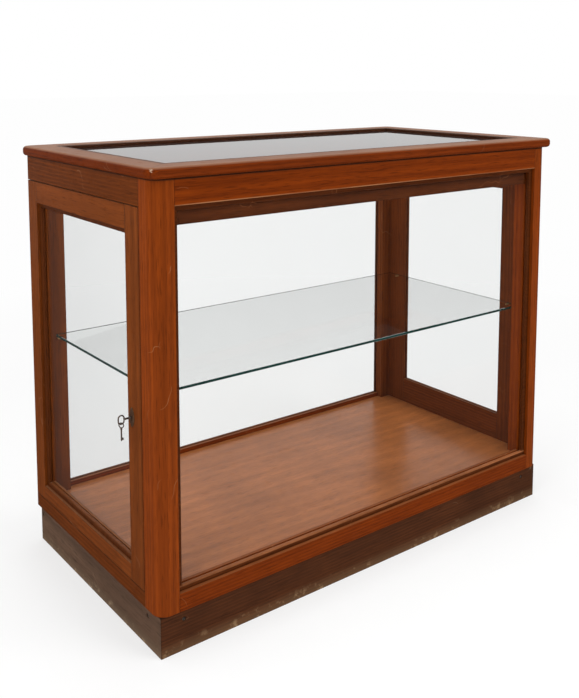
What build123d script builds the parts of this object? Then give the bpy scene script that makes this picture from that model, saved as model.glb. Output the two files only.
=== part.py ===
from build123d import *
from math import cos, radians, sin
import os

os.makedirs("parts", exist_ok=True)

# Overall size of the counter. X runs along its length, the front faces -Y,
# and the origin is at the centre of the footprint, at floor level.
case_length = 1100.0
case_depth = 570.0
total_height = 920.0

# Plinth
plinth_height = 82.0
plinth_setback = 6.0
plinth_board = 19.0
plinth_screw_height = 62.0
plinth_screw_inset = 50.0
corner_block = 38.0
corner_block_drop = 8.0

# Top frame
top_thickness = 21.0
top_overhang = 12.0
top_rail_width = 62.0
top_corner_radius = 22.0
top_edge_radius = 8.0

# Posts and rails of the case
front_post_face = 44.0
front_post_side = 54.0
front_corner_radius = 26.0
rear_post_face = 44.0
rear_post_side = 44.0
hinge_post_face = 30.0
bottom_rail_height = 36.0
front_rail_height = 51.0
end_rail_height = 54.0
end_rail_thickness = 24.0
ledge_width = 16.0
lintel_height = 89.0
lintel_thickness = 16.0
arris_radius = 1.2

# Glazing: a pane lies in a rebate cut from outside, behind a bead
bead_width = 10.0
bead_depth = 8.0
bead_arris = 1.5
front_recess = 8.0
frame_recess = 6.0
pane_thickness = 5.0
frame_pane_thickness = 4.0
pane_clearance = 0.3
lip_thickness = 8.0
mitre_gap = 0.2

# Top glazing, laid in from above
top_pane_thickness = 6.0
top_bead_depth = 6.0
top_bead_drop = 0.4

# Floor board
floor_thickness = 15.0
floor_clearance = 0.5
bearer_width = 45.0
bearer_count = 3

# Fixed glazed frame of the right end
end_stile_width = 52.0
end_top_rail = 50.0
end_bottom_rail = 58.0

# Door of the left end
door_thickness = 24.0
door_gap = 1.5
door_back_gap = 1.0
door_sill_height = 30.5
door_sill_gap = 0.6
lock_stile_width = 52.0
hinge_stile_width = 46.0
door_top_rail = 46.5
door_bottom_rail = 31.0
door_stop = 12.0

# Butt hinges
hinge_count = 2
hinge_height = 62.0
hinge_inset = 90.0
hinge_leaf_width = 20.0
hinge_leaf_thickness = 1.4
hinge_leaf_gap = 0.6
hinge_knuckles = 5
knuckle_gap = 0.3
knuckle_radius = 3.2
hinge_pin_radius = 1.5
pin_clearance = 0.05
hinge_pin_head = 2.4
hinge_pin_head_height = 2.0
hinge_set_back = 0.4
hinge_screw_end = 9.3
hinge_screw_edge = 11.0

# Cupboard lock let into the lock stile
lock_height = 58.0
lock_width = 42.5
lock_depth = 12.0
lock_wall = 1.5
lock_flange = 10.0
lock_screw_inset = 10.6
lock_key_clearance = 0.1
lock_axis_inset = 92.0
lock_axis_height = 442.0
bolt_height = 12.0
bolt_thickness = 7.0
bolt_length = 31.0
bolt_rise = 16.0
bolt_throw = 8.0
bolt_clearance = 0.5
bolt_mortise_spare = 3.0
strike_height = 42.0
strike_width = 14.0
strike_thickness = 1.5
strike_screw_inset = 5.0

# Escutcheon and keys
escutcheon_height = 39.0
escutcheon_width = 19.0
escutcheon_thickness = 1.4
escutcheon_arris = 0.5
keyhole_radius = 2.6
keyhole_slot_width = 2.8
keyhole_slot_drop = 8.0
key_shank_radius = 1.9
key_shank_length = 39.0
key_collar_radius = 3.0
key_collar_length = 2.5
key_tip_length = 1.0
key_bit_drop = 6.5
key_bit_length = 5.0
key_bit_thickness = 1.8
bow_wire_radius = 1.3
bow_width = 14.4
bow_height = 19.4
spare_wire_radius = 1.0
spare_ring_radius = 4.6
spare_turn = -50.0
spare_link_gap = 0.25
spare_shank_radius = 1.5
spare_shank_length = 22.0
spare_collar_radius = 2.1
spare_collar_length = 3.0
spare_bit_length = 4.0
spare_bit_reach = 4.0

# Glass shelf on four studs
shelf_thickness = 6.0
shelf_height = 487.0
shelf_end_gap = 2.0
shelf_side_gap = 2.5
glass_arris = 0.6
stud_radius = 2.5
stud_length = 9.0
stud_depth = 8.0
stud_seat_gap = 0.2
stud_inset = 34.0

# Screws
wood_screw_head = 4.0
wood_screw_shank = 2.1
wood_screw_length = 32.0
wood_screw_sink = 2.0
small_screw_head = 2.6
small_screw_shank = 1.2
small_screw_length = 11.0
screw_land_share = 0.15
screw_point_share = 2.0

# Faces and levels worked out from the sizes above
left_face = -case_length / 2
right_face = case_length / 2
front_face = -case_depth / 2
rear_face = case_depth / 2
case_floor = plinth_height
case_top = total_height - top_thickness
sill_top = case_floor + bottom_rail_height
front_head = case_top - front_rail_height
end_head = case_top - end_rail_height
floor_top = sill_top
floor_under = floor_top - floor_thickness

rebate_depth = front_recess + bead_depth + pane_thickness + pane_clearance
front_lip = front_face + rebate_depth
rear_lip = rear_face - rebate_depth
front_post_back = front_face + front_post_side
rear_post_front = rear_face - rear_post_side

door_face = left_face
door_back = door_face + door_thickness
stop_face = door_back + door_back_gap
door_front_edge = front_post_back + door_gap
door_bottom = case_floor + door_sill_height + door_sill_gap
door_top = end_head - door_gap

front_opening_left = left_face + front_post_face
front_opening_right = right_face - front_post_face
rear_opening_left = stop_face + hinge_post_face
rear_opening_right = right_face - rear_post_face

end_frame_back = right_face - end_rail_thickness

lock_axis_y = front_face + lock_axis_inset


def save(piece, name):
    """Label one piece and write it to its own file."""
    piece.label = name
    export_step(piece, "parts/" + name + ".step")


def block(x_span, y_span, z_span, mode=Mode.ADD):
    """Add or cut a plain block between two values on each axis."""
    with BuildSketch(Plane.XY.offset(z_span[0])) as outline:
        with Locations(((x_span[0] + x_span[1]) / 2, (y_span[0] + y_span[1]) / 2)):
            Rectangle(x_span[1] - x_span[0], y_span[1] - y_span[0])
    extrude(outline.sketch, amount=z_span[1] - z_span[0], mode=mode)


def prism(points, plane, length, mode=Mode.ADD):
    """Extrude a closed outline along its plane's normal."""
    with BuildSketch(plane) as outline:
        with BuildLine():
            Polyline(*points, close=True)
        make_face()
    extrude(outline.sketch, amount=length, mode=mode)


def rod(plane, radius, length, mode=Mode.ADD):
    """Add or cut a round bar along a plane's normal."""
    with BuildSketch(plane) as outline:
        Circle(radius)
    extrude(outline.sketch, amount=length, mode=mode)


def screw(plane, head, shank, length):
    """A countersunk wood screw whose head lies at the plane and points down its normal."""
    section = Plane(plane.origin, x_dir=plane.x_dir, z_dir=-plane.y_dir)
    land = screw_land_share * head
    with BuildSketch(section) as outline:
        with BuildLine():
            Polyline(
                (0, 0),
                (head, 0),
                (head, land),
                (shank, head - shank + land),
                (shank, length - screw_point_share * shank),
                (0, length),
                close=True,
            )
        make_face()
    revolve(outline.sketch, axis=Axis(plane.origin, plane.z_dir))


def screw_group(planes, head, shank, length):
    """Several like screws as one group of separate solids."""
    with BuildPart() as group:
        for plane in planes:
            screw(plane, head, shank, length)
    return group.part


def pane(plane, width, height, thickness):
    """A sheet of glass for a rebate of the given size, its outer face on the plane."""
    with BuildPart() as sheet:
        with BuildSketch(plane):
            Rectangle(width - 2 * pane_clearance, height - 2 * pane_clearance)
        extrude(amount=-thickness)
    return sheet.part


def bead_ring(plane, width, height, depth):
    """Four mitred glazing beads whose outer face lies on the plane."""
    with BuildPart() as ring:
        with BuildSketch(plane):
            Rectangle(width, height)
            Rectangle(width - 2 * bead_width, height - 2 * bead_width, mode=Mode.SUBTRACT)
        extrude(amount=-depth)
        shown = ring.faces().sort_by(Axis(plane.origin, plane.z_dir))[-1]
        chamfer(shown.inner_wires()[0].edges(), bead_arris)
        with BuildSketch(plane):
            for side_x in (-1, 1):
                for side_y in (-1, 1):
                    corner_x = side_x * (width - bead_width) / 2
                    corner_y = side_y * (height - bead_width) / 2
                    with Locations(Location((corner_x, corner_y), 45 * side_x * side_y)):
                        Rectangle(2 * bead_width, mitre_gap)
        extrude(amount=-depth, mode=Mode.SUBTRACT)
    return ring.part


def facing(point, across, outward):
    """A plane at a point, with its X direction and its outward normal."""
    return Plane(point, x_dir=across, z_dir=outward)


# Planes that the glazing lies on, each with the outer face of its pane and bead
front_centre_x = (front_opening_left + front_opening_right) / 2
front_centre_z = (sill_top + front_head) / 2
front_width = front_opening_right - front_opening_left
front_height = front_head - sill_top
rear_centre_x = (rear_opening_left + rear_opening_right) / 2
rear_width = rear_opening_right - rear_opening_left

end_opening_front = front_post_back + end_stile_width
end_opening_rear = rear_post_front - end_stile_width
end_opening_bottom = sill_top + end_bottom_rail
end_opening_top = end_head - end_top_rail
end_width = end_opening_rear - end_opening_front
end_height = end_opening_top - end_opening_bottom
end_centre_y = (end_opening_front + end_opening_rear) / 2
end_centre_z = (end_opening_bottom + end_opening_top) / 2

door_opening_front = door_front_edge + lock_stile_width
door_opening_rear = rear_face - hinge_stile_width
door_opening_bottom = door_bottom + door_bottom_rail
door_opening_top = door_top - door_top_rail
door_width = door_opening_rear - door_opening_front
door_height = door_opening_top - door_opening_bottom
door_centre_y = (door_opening_front + door_opening_rear) / 2
door_centre_z = (door_opening_bottom + door_opening_top) / 2
frame_rebate = frame_recess + bead_depth + frame_pane_thickness + pane_clearance


# Plinth: four boards, mitred at the two front corners, with a block in each corner
plinth_x = case_length / 2 - plinth_setback
plinth_y = case_depth / 2 - plinth_setback
plinth_inner_x = plinth_x - plinth_board
plinth_inner_y = plinth_y - plinth_board

plinth_screw_planes = []
for side in (-1, 1):
    point = (side * (plinth_x - plinth_screw_inset), -plinth_y + wood_screw_sink, plinth_screw_height)
    plinth_screw_planes.append(facing(point, (1, 0, 0), (0, 1, 0)))
    for screw_y in (-plinth_y + plinth_screw_inset, plinth_y - plinth_board / 2):
        point = (side * (plinth_x - wood_screw_sink), screw_y, plinth_screw_height)
        plinth_screw_planes.append(facing(point, (0, 1, 0), (-side, 0, 0)))
plinth_screws = screw_group(plinth_screw_planes, wood_screw_head, wood_screw_shank, wood_screw_length)
save(plinth_screws, "plinth_screws")


def screw_pockets(planes, head, depth):
    """Cut the round pockets that the sunk screw heads lie in."""
    for plane in planes:
        rod(plane, head, -depth, Mode.SUBTRACT)


with BuildPart() as plinth_front:
    prism(
        [
            (-plinth_x, -plinth_y),
            (plinth_x, -plinth_y),
            (plinth_inner_x, -plinth_inner_y),
            (-plinth_inner_x, -plinth_inner_y),
        ],
        Plane.XY,
        plinth_height,
    )
    screw_pockets(plinth_screw_planes, wood_screw_head, wood_screw_sink)
    add(plinth_screws, mode=Mode.SUBTRACT)
save(plinth_front.part, "plinth_front")

for side, side_name in ((-1, "left"), (1, "right")):
    with BuildPart() as plinth_end:
        prism(
            [
                (side * plinth_x, -plinth_y),
                (side * plinth_x, plinth_y),
                (side * plinth_inner_x, plinth_y),
                (side * plinth_inner_x, -plinth_inner_y),
            ],
            Plane.XY,
            plinth_height,
        )
        screw_pockets(plinth_screw_planes, wood_screw_head, wood_screw_sink)
        add(plinth_screws, mode=Mode.SUBTRACT)
    save(plinth_end.part, "plinth_" + side_name)

with BuildPart() as plinth_rear:
    block((-plinth_inner_x, plinth_inner_x), (plinth_inner_y, plinth_y), (0, plinth_height))
    add(plinth_screws, mode=Mode.SUBTRACT)
save(plinth_rear.part, "plinth_rear")

with BuildPart() as plinth_corner_blocks:
    for side in (-1, 1):
        for end in (-1, 1):
            x_span = sorted((side * plinth_inner_x, side * (plinth_inner_x - corner_block)))
            y_span = sorted((end * plinth_inner_y, end * (plinth_inner_y - corner_block)))
            block(x_span, y_span, (0, plinth_height - corner_block_drop))
    add(plinth_screws, mode=Mode.SUBTRACT)
save(plinth_corner_blocks.part, "plinth_corner_blocks")


# Hinges of the door: the case leaf is let into the hinge post and the door leaf into the stile
hinge_axis_x = (door_back + stop_face) / 2
hinge_axis_y = rear_face + hinge_set_back + knuckle_radius
knuckle_pitch = hinge_height / hinge_knuckles
hinge_pitch = (door_top - door_bottom - 2 * hinge_inset - hinge_height) / (hinge_count - 1)
hinge_bottoms = [door_bottom + hinge_inset + index * hinge_pitch for index in range(hinge_count)]
case_leaf_span = (hinge_axis_x + hinge_leaf_gap / 2, hinge_axis_x + hinge_leaf_gap / 2 + hinge_leaf_thickness)
door_leaf_span = (hinge_axis_x - hinge_leaf_gap / 2 - hinge_leaf_thickness, hinge_axis_x - hinge_leaf_gap / 2)
leaf_inner_y = rear_face - hinge_leaf_width
hinge_screw_y = rear_face - hinge_screw_edge


def hinge_screw_planes(leaf_x, direction):
    """Three screws for each leaf, standing on the leaf's open face."""
    planes = []
    for bottom in hinge_bottoms:
        for rise in (hinge_screw_end, hinge_height / 2, hinge_height - hinge_screw_end):
            point = (leaf_x, hinge_screw_y, bottom + rise)
            planes.append(facing(point, (0, 1, 0), (direction, 0, 0)))
    return planes


hinge_case_screws = screw_group(
    hinge_screw_planes(case_leaf_span[0], 1), small_screw_head, small_screw_shank, small_screw_length
)
save(hinge_case_screws, "hinge_case_screws")
hinge_door_screws = screw_group(
    hinge_screw_planes(door_leaf_span[1], -1), small_screw_head, small_screw_shank, small_screw_length
)
save(hinge_door_screws, "hinge_door_screws")


def hinge_leaves(leaf_span, first_knuckle, screws):
    """One leaf of each hinge, with every second knuckle from the given one up."""
    with BuildPart() as leaves:
        for bottom in hinge_bottoms:
            block(leaf_span, (leaf_inner_y, rear_face), (bottom, bottom + hinge_height))
            for index in range(first_knuckle, hinge_knuckles, 2):
                z_low = bottom + index * knuckle_pitch + knuckle_gap / 2
                z_high = bottom + (index + 1) * knuckle_pitch - knuckle_gap / 2
                block(leaf_span, (rear_face, hinge_axis_y), (z_low, z_high))
                rod(Plane((hinge_axis_x, hinge_axis_y, z_low)), knuckle_radius, z_high - z_low)
            bore = Plane((hinge_axis_x, hinge_axis_y, bottom))
            rod(bore, hinge_pin_radius + pin_clearance, hinge_height, Mode.SUBTRACT)
        add(screws, mode=Mode.SUBTRACT)
    return leaves.part


hinge_case_leaves = hinge_leaves(case_leaf_span, 0, hinge_case_screws)
save(hinge_case_leaves, "hinge_case_leaves")
hinge_door_leaves = hinge_leaves(door_leaf_span, 1, hinge_door_screws)
save(hinge_door_leaves, "hinge_door_leaves")

with BuildPart() as hinge_pins:
    for bottom in hinge_bottoms:
        rod(Plane((hinge_axis_x, hinge_axis_y, bottom)), hinge_pin_radius, hinge_height)
        for head_z in (bottom - hinge_pin_head_height, bottom + hinge_height):
            rod(Plane((hinge_axis_x, hinge_axis_y, head_z)), hinge_pin_head, hinge_pin_head_height)
save(hinge_pins.part, "hinge_pins")


# Lock: a flat case let into the lock stile from inside, with its bolt and strike plate
lock_back = door_back
lock_front = lock_back - lock_depth
lock_y_span = (door_front_edge, door_front_edge + lock_width)
lock_z_span = (lock_axis_height - lock_height / 2, lock_axis_height + lock_height / 2)
flange_z_span = (lock_z_span[0] - lock_flange, lock_z_span[1] + lock_flange)
bolt_x_centre = (lock_front + lock_back) / 2
bolt_x_span = (bolt_x_centre - bolt_thickness / 2, bolt_x_centre + bolt_thickness / 2)
bolt_z_centre = lock_axis_height + bolt_rise
bolt_z_span = (bolt_z_centre - bolt_height / 2, bolt_z_centre + bolt_height / 2)
bolt_y_span = (door_front_edge + bolt_clearance / 2, door_front_edge + bolt_clearance / 2 + bolt_length)


def grown(span, margin):
    """A span with a margin added at both ends."""
    return (span[0] - margin, span[1] + margin)


lock_screw_planes = [
    facing((lock_back, screw_y, screw_z), (0, 1, 0), (-1, 0, 0))
    for screw_y in (lock_y_span[0] + lock_screw_inset, lock_y_span[1] - lock_screw_inset)
    for screw_z in (lock_z_span[0] - lock_flange / 2, lock_z_span[1] + lock_flange / 2)
]
lock_screws = screw_group(lock_screw_planes, small_screw_head, small_screw_shank, small_screw_length)
save(lock_screws, "lock_screws")

keyhole_plane = facing((lock_front, lock_axis_y, lock_axis_height), (0, -1, 0), (-1, 0, 0))


def keyhole(plane, radius, depth):
    """Cut a keyhole: a round hole with a slot below it."""
    rod(plane, radius, depth, Mode.SUBTRACT)
    with BuildSketch(plane) as slot:
        with Locations((0, -keyhole_slot_drop / 2)):
            Rectangle(keyhole_slot_width, keyhole_slot_drop)
    extrude(slot.sketch, amount=depth, mode=Mode.SUBTRACT)


with BuildPart() as lock_case:
    block((lock_front, lock_back), lock_y_span, lock_z_span)
    block((lock_back - lock_wall, lock_back), lock_y_span, flange_z_span)
    block(
        grown((lock_front, lock_back), -lock_wall),
        grown(lock_y_span, -lock_wall),
        grown(lock_z_span, -lock_wall),
        Mode.SUBTRACT,
    )
    block(
        grown(bolt_x_span, bolt_clearance / 2),
        (lock_y_span[0], lock_y_span[0] + lock_wall),
        grown(bolt_z_span, bolt_clearance / 2),
        Mode.SUBTRACT,
    )
    keyhole(keyhole_plane, key_shank_radius + lock_key_clearance, -lock_wall)
    add(lock_screws, mode=Mode.SUBTRACT)
save(lock_case.part, "lock_case")

with BuildPart() as lock_bolt:
    block(bolt_x_span, bolt_y_span, bolt_z_span)
    chamfer(lock_bolt.faces().sort_by(Axis.Y)[0].edges(), arris_radius)
save(lock_bolt.part, "lock_bolt")

strike_x_span = (bolt_x_centre - strike_width / 2, bolt_x_centre + strike_width / 2)
strike_z_span = (bolt_z_centre - strike_height / 2, bolt_z_centre + strike_height / 2)
mortise_depth = bolt_throw + bolt_mortise_spare
strike_screw_planes = [
    facing((bolt_x_centre, front_post_back, screw_z), (1, 0, 0), (0, -1, 0))
    for screw_z in (strike_z_span[0] + strike_screw_inset, strike_z_span[1] - strike_screw_inset)
]
strike_screws = screw_group(strike_screw_planes, small_screw_head, small_screw_shank, small_screw_length)
save(strike_screws, "strike_screws")

with BuildPart() as strike_plate:
    block(strike_x_span, (front_post_back - strike_thickness, front_post_back), strike_z_span)
    block(
        grown(bolt_x_span, bolt_clearance),
        (front_post_back - strike_thickness, front_post_back),
        grown(bolt_z_span, bolt_clearance),
        Mode.SUBTRACT,
    )
    add(strike_screws, mode=Mode.SUBTRACT)
save(strike_plate.part, "strike_plate")


# Shelf studs, two in the door side and two in the right end
stud_axis_z = shelf_height - stud_seat_gap - stud_radius
shelf_x_span = (stop_face + door_stop + shelf_end_gap, end_frame_back - shelf_end_gap)
shelf_y_span = (front_post_back + shelf_side_gap, rear_post_front - shelf_side_gap)
stop_strip_middle = front_post_back + door_stop / 2
stud_planes = [
    facing((stop_face + door_stop, stop_strip_middle, stud_axis_z), (0, 1, 0), (1, 0, 0)),
    facing((rear_opening_left - door_stop, rear_post_front, stud_axis_z), (1, 0, 0), (0, -1, 0)),
    facing((end_frame_back, front_post_back + stud_inset, stud_axis_z), (0, 1, 0), (-1, 0, 0)),
    facing((end_frame_back, rear_post_front - stud_inset, stud_axis_z), (0, 1, 0), (-1, 0, 0)),
]
with BuildPart() as shelf_studs:
    for plane in stud_planes:
        rod(plane, stud_radius, stud_length)
        rod(plane, stud_radius, -stud_depth)
save(shelf_studs.part, "shelf_studs")

with BuildPart() as glass_shelf:
    block(shelf_x_span, shelf_y_span, (shelf_height, shelf_height + shelf_thickness))
    chamfer(glass_shelf.edges(), glass_arris)
save(glass_shelf.part, "glass_shelf")


# Posts: the front two have a rounded outer corner and are rebated for the front pane
def front_post(side):
    """One front post; side is -1 at the left end and 1 at the right."""
    outer = side * case_length / 2
    rebate_edge = outer - side * front_post_face
    lip_edge = rebate_edge - side * bead_width
    with BuildPart() as post:
        with BuildSketch(Plane.XY.offset(case_floor)) as outline:
            with BuildLine():
                Polyline(
                    (outer, front_face),
                    (rebate_edge, front_face),
                    (rebate_edge, front_lip),
                    (lip_edge, front_lip),
                    (lip_edge, front_post_back),
                    (outer, front_post_back),
                    close=True,
                )
            make_face()
            corners = outline.vertices().sort_by(Axis.Y)
            fillet(corners[0:2].sort_by(Axis.X)[0 if side < 0 else -1], front_corner_radius)
            fillet(outline.vertices().sort_by_distance((rebate_edge, front_face))[0], arris_radius)
        extrude(amount=case_top - case_floor)
    return post.part


with BuildPart() as post_front_left:
    add(front_post(-1))
    block(strike_x_span, (front_post_back - strike_thickness, front_post_back), strike_z_span, Mode.SUBTRACT)
    block(
        grown(bolt_x_span, bolt_clearance),
        (front_post_back - mortise_depth, front_post_back),
        grown(bolt_z_span, bolt_clearance),
        Mode.SUBTRACT,
    )
    add(strike_screws, mode=Mode.SUBTRACT)
save(post_front_left.part, "post_front_left")

with BuildPart() as post_front_right:
    add(front_post(1))
save(post_front_right.part, "post_front_right")


def rear_post(outer, rebate_edge, lip_edge):
    """One rear post, square outside and rebated for the rear pane."""
    with BuildPart() as post:
        prism(
            [
                (outer, rear_face),
                (rebate_edge, rear_face),
                (rebate_edge, rear_lip),
                (lip_edge, rear_lip),
                (lip_edge, rear_post_front),
                (outer, rear_post_front),
            ],
            Plane.XY.offset(case_floor),
            case_top - case_floor,
        )
    return post.part


with BuildPart() as post_rear_left:
    add(rear_post(stop_face, rear_opening_left, rear_opening_left + bead_width))
    for bottom in hinge_bottoms:
        block(
            (stop_face, case_leaf_span[1]),
            (leaf_inner_y, rear_face),
            (bottom, bottom + hinge_height),
            Mode.SUBTRACT,
        )
    add(hinge_case_screws, mode=Mode.SUBTRACT)
    add(shelf_studs.part, mode=Mode.SUBTRACT)
save(post_rear_left.part, "post_rear_left")

with BuildPart() as post_rear_right:
    add(rear_post(right_face, rear_opening_right, rear_opening_right - bead_width))
save(post_rear_right.part, "post_rear_right")


# Rails of the case, each with the lip that backs its pane and the ledge that carries the floor
front_rail_span = (front_opening_left, front_opening_right)
front_lip_span = (front_opening_left + bead_width, front_opening_right - bead_width)
rear_rail_span = (rear_opening_left, rear_opening_right)
rear_lip_span = (rear_opening_left + bead_width, rear_opening_right - bead_width)
lip_top = sill_top + bead_width
floor_front = front_lip + lip_thickness
floor_rear = rear_lip - lip_thickness

with BuildPart() as bottom_rail_front:
    block(front_rail_span, (front_face, front_lip), (case_floor, sill_top))
    shown_edge = bottom_rail_front.edges().filter_by(Axis.X).sort_by_distance((0, front_face, sill_top))[0]
    fillet(shown_edge, arris_radius)
    block(front_lip_span, (front_lip, floor_front), (case_floor, lip_top))
    block(front_lip_span, (floor_front, floor_front + ledge_width), (case_floor, floor_under))
save(bottom_rail_front.part, "bottom_rail_front")

with BuildPart() as bottom_rail_rear:
    block(rear_rail_span, (rear_lip, rear_face), (case_floor, sill_top))
    block(rear_lip_span, (floor_rear, rear_lip), (case_floor, lip_top))
    block(rear_lip_span, (floor_rear - ledge_width, floor_rear), (case_floor, floor_under))
save(bottom_rail_rear.part, "bottom_rail_rear")

with BuildPart() as bottom_rail_left:
    block((left_face, stop_face), (front_post_back, rear_face), (case_floor, case_floor + door_sill_height))
    block((stop_face, stop_face + ledge_width), (front_post_back, rear_post_front), (case_floor, floor_under))
save(bottom_rail_left.part, "bottom_rail_left")

with BuildPart() as bottom_rail_right:
    block((end_frame_back, right_face), (front_post_back, rear_post_front), (case_floor, sill_top))
    block(
        (end_frame_back - ledge_width, end_frame_back),
        (front_post_back, rear_post_front),
        (case_floor, floor_under),
    )
save(bottom_rail_right.part, "bottom_rail_right")

with BuildPart() as top_rail_front:
    block(front_rail_span, (front_face, front_lip), (front_head, case_top))
    shown_edge = top_rail_front.edges().filter_by(Axis.X).sort_by_distance((0, front_face, front_head))[0]
    fillet(shown_edge, arris_radius)
save(top_rail_front.part, "top_rail_front")

with BuildPart() as front_lintel:
    block(front_lip_span, (front_lip, front_lip + lintel_thickness), (case_top - lintel_height, case_top))
save(front_lintel.part, "front_lintel")

with BuildPart() as top_rail_rear:
    block(rear_rail_span, (rear_lip, rear_face), (front_head, case_top))
    block(rear_lip_span, (floor_rear, rear_lip), (front_head - bead_width, case_top))
save(top_rail_rear.part, "top_rail_rear")

with BuildPart() as top_rail_left:
    block((left_face, stop_face), (front_post_back, rear_face), (end_head, case_top))
    block(
        (stop_face, stop_face + door_stop),
        (front_post_back, rear_post_front),
        (end_head - door_stop, case_top),
    )
save(top_rail_left.part, "top_rail_left")

with BuildPart() as top_rail_right:
    block((end_frame_back, right_face), (front_post_back, rear_post_front), (end_head, case_top))
save(top_rail_right.part, "top_rail_right")

with BuildPart() as door_stop_strip:
    block(
        (stop_face, stop_face + door_stop),
        (front_post_back, front_post_back + door_stop),
        (floor_top, end_head - door_stop),
    )
    add(shelf_studs.part, mode=Mode.SUBTRACT)
save(door_stop_strip.part, "door_stop_strip")


# Floor board on its ledges, notched round the posts, over cross bearers
with BuildPart() as floor_board:
    block(
        (stop_face, end_frame_back),
        grown((floor_front, floor_rear), -floor_clearance),
        (floor_under, floor_top),
    )
    notches = (
        ((left_face, front_lip_span[0]), (front_face, front_post_back)),
        ((front_lip_span[1], right_face), (front_face, front_post_back)),
        ((left_face, rear_lip_span[0]), (rear_post_front, rear_face)),
        ((rear_lip_span[1], right_face), (rear_post_front, rear_face)),
    )
    for x_span, y_span in notches:
        block(
            grown(x_span, floor_clearance),
            grown(y_span, floor_clearance),
            (floor_under, floor_top),
            Mode.SUBTRACT,
        )
save(floor_board.part, "floor_board")

bearer_pitch = case_length / (bearer_count + 1)
with BuildPart() as floor_bearers:
    for index in range(bearer_count):
        bearer_x = left_face + (index + 1) * bearer_pitch
        block(
            (bearer_x - bearer_width / 2, bearer_x + bearer_width / 2),
            (floor_front + ledge_width, floor_rear - ledge_width),
            (case_floor, floor_under),
        )
save(floor_bearers.part, "floor_bearers")


# Front and rear panes with their beads
front_plane = facing((front_centre_x, front_face + front_recess, front_centre_z), (1, 0, 0), (0, -1, 0))
front_pane_plane = front_plane.offset(-bead_depth)
save(pane(front_pane_plane, front_width, front_height, pane_thickness), "front_glass")
save(bead_ring(front_plane, front_width, front_height, bead_depth), "front_beads")

rear_plane = facing((rear_centre_x, rear_face - front_recess, front_centre_z), (-1, 0, 0), (0, 1, 0))
rear_pane_plane = rear_plane.offset(-bead_depth)
save(pane(rear_pane_plane, rear_width, front_height, pane_thickness), "rear_glass")
save(bead_ring(rear_plane, rear_width, front_height, bead_depth), "rear_beads")


# Members of a glazed end frame, seen from its outside: the rebated part and the lip behind it
def frame_stile(outer_x, depth, edge_y, opening_y, z_span):
    """One upright of a glazed frame, from its outer edge to the opening."""
    inward = 1 if opening_y > edge_y else -1
    inner_side = 1 if outer_x < 0 else -1
    back_x = outer_x + inner_side * depth
    lip_x = outer_x + inner_side * frame_rebate
    lip_y = opening_y + inward * bead_width
    block(sorted((outer_x, back_x)), sorted((edge_y, opening_y)), z_span)
    block(sorted((lip_x, back_x)), sorted((opening_y, lip_y)), z_span)


def frame_rail(outer_x, depth, y_span, edge_z, opening_z):
    """One cross rail of a glazed frame, cut to fit between the stiles."""
    upward = 1 if opening_z > edge_z else -1
    inner_side = 1 if outer_x < 0 else -1
    back_x = outer_x + inner_side * depth
    lip_x = outer_x + inner_side * frame_rebate
    block(sorted((outer_x, lip_x)), y_span, sorted((edge_z, opening_z)))
    lip_z = opening_z + upward * bead_width
    block(sorted((lip_x, back_x)), grown(y_span, -bead_width), sorted((edge_z, lip_z)))


end_z_span = (sill_top, end_head)
with BuildPart() as end_stile_front:
    frame_stile(right_face, end_rail_thickness, front_post_back, end_opening_front, end_z_span)
    add(shelf_studs.part, mode=Mode.SUBTRACT)
save(end_stile_front.part, "end_stile_front")

with BuildPart() as end_stile_rear:
    frame_stile(right_face, end_rail_thickness, rear_post_front, end_opening_rear, end_z_span)
    add(shelf_studs.part, mode=Mode.SUBTRACT)
save(end_stile_rear.part, "end_stile_rear")

end_rail_span = (end_opening_front, end_opening_rear)
with BuildPart() as end_rail_top:
    frame_rail(right_face, end_rail_thickness, end_rail_span, end_head, end_opening_top)
save(end_rail_top.part, "end_rail_top")

with BuildPart() as end_rail_bottom:
    frame_rail(right_face, end_rail_thickness, end_rail_span, sill_top, end_opening_bottom)
save(end_rail_bottom.part, "end_rail_bottom")

end_plane = facing((right_face - frame_recess, end_centre_y, end_centre_z), (0, 1, 0), (1, 0, 0))
end_pane_plane = end_plane.offset(-bead_depth)
save(pane(end_pane_plane, end_width, end_height, frame_pane_thickness), "end_glass")
save(bead_ring(end_plane, end_width, end_height, bead_depth), "end_beads")


# Door of the left end
door_z_span = (door_bottom, door_top)
with BuildPart() as door_stile_lock:
    frame_stile(left_face, door_thickness, door_front_edge, door_opening_front, door_z_span)
    block((lock_front, lock_back), lock_y_span, lock_z_span, Mode.SUBTRACT)
    block((lock_back - lock_wall, lock_back), lock_y_span, flange_z_span, Mode.SUBTRACT)
    keyhole(keyhole_plane, keyhole_radius, lock_front - left_face)
    add(lock_screws, mode=Mode.SUBTRACT)
save(door_stile_lock.part, "door_stile_lock")

with BuildPart() as door_stile_hinge:
    frame_stile(left_face, door_thickness, rear_face, door_opening_rear, door_z_span)
    for bottom in hinge_bottoms:
        block(
            (door_leaf_span[0], door_back),
            (leaf_inner_y, rear_face),
            (bottom, bottom + hinge_height),
            Mode.SUBTRACT,
        )
    add(hinge_door_screws, mode=Mode.SUBTRACT)
save(door_stile_hinge.part, "door_stile_hinge")

door_rail_span = (door_opening_front, door_opening_rear)
with BuildPart() as door_rail_top:
    frame_rail(left_face, door_thickness, door_rail_span, door_top, door_opening_top)
save(door_rail_top.part, "door_rail_top")

with BuildPart() as door_rail_bottom:
    frame_rail(left_face, door_thickness, door_rail_span, door_bottom, door_opening_bottom)
save(door_rail_bottom.part, "door_rail_bottom")

door_plane = facing((left_face + frame_recess, door_centre_y, door_centre_z), (0, -1, 0), (-1, 0, 0))
door_pane_plane = door_plane.offset(-bead_depth)
save(pane(door_pane_plane, door_width, door_height, frame_pane_thickness), "door_glass")
save(bead_ring(door_plane, door_width, door_height, bead_depth), "door_beads")


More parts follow.
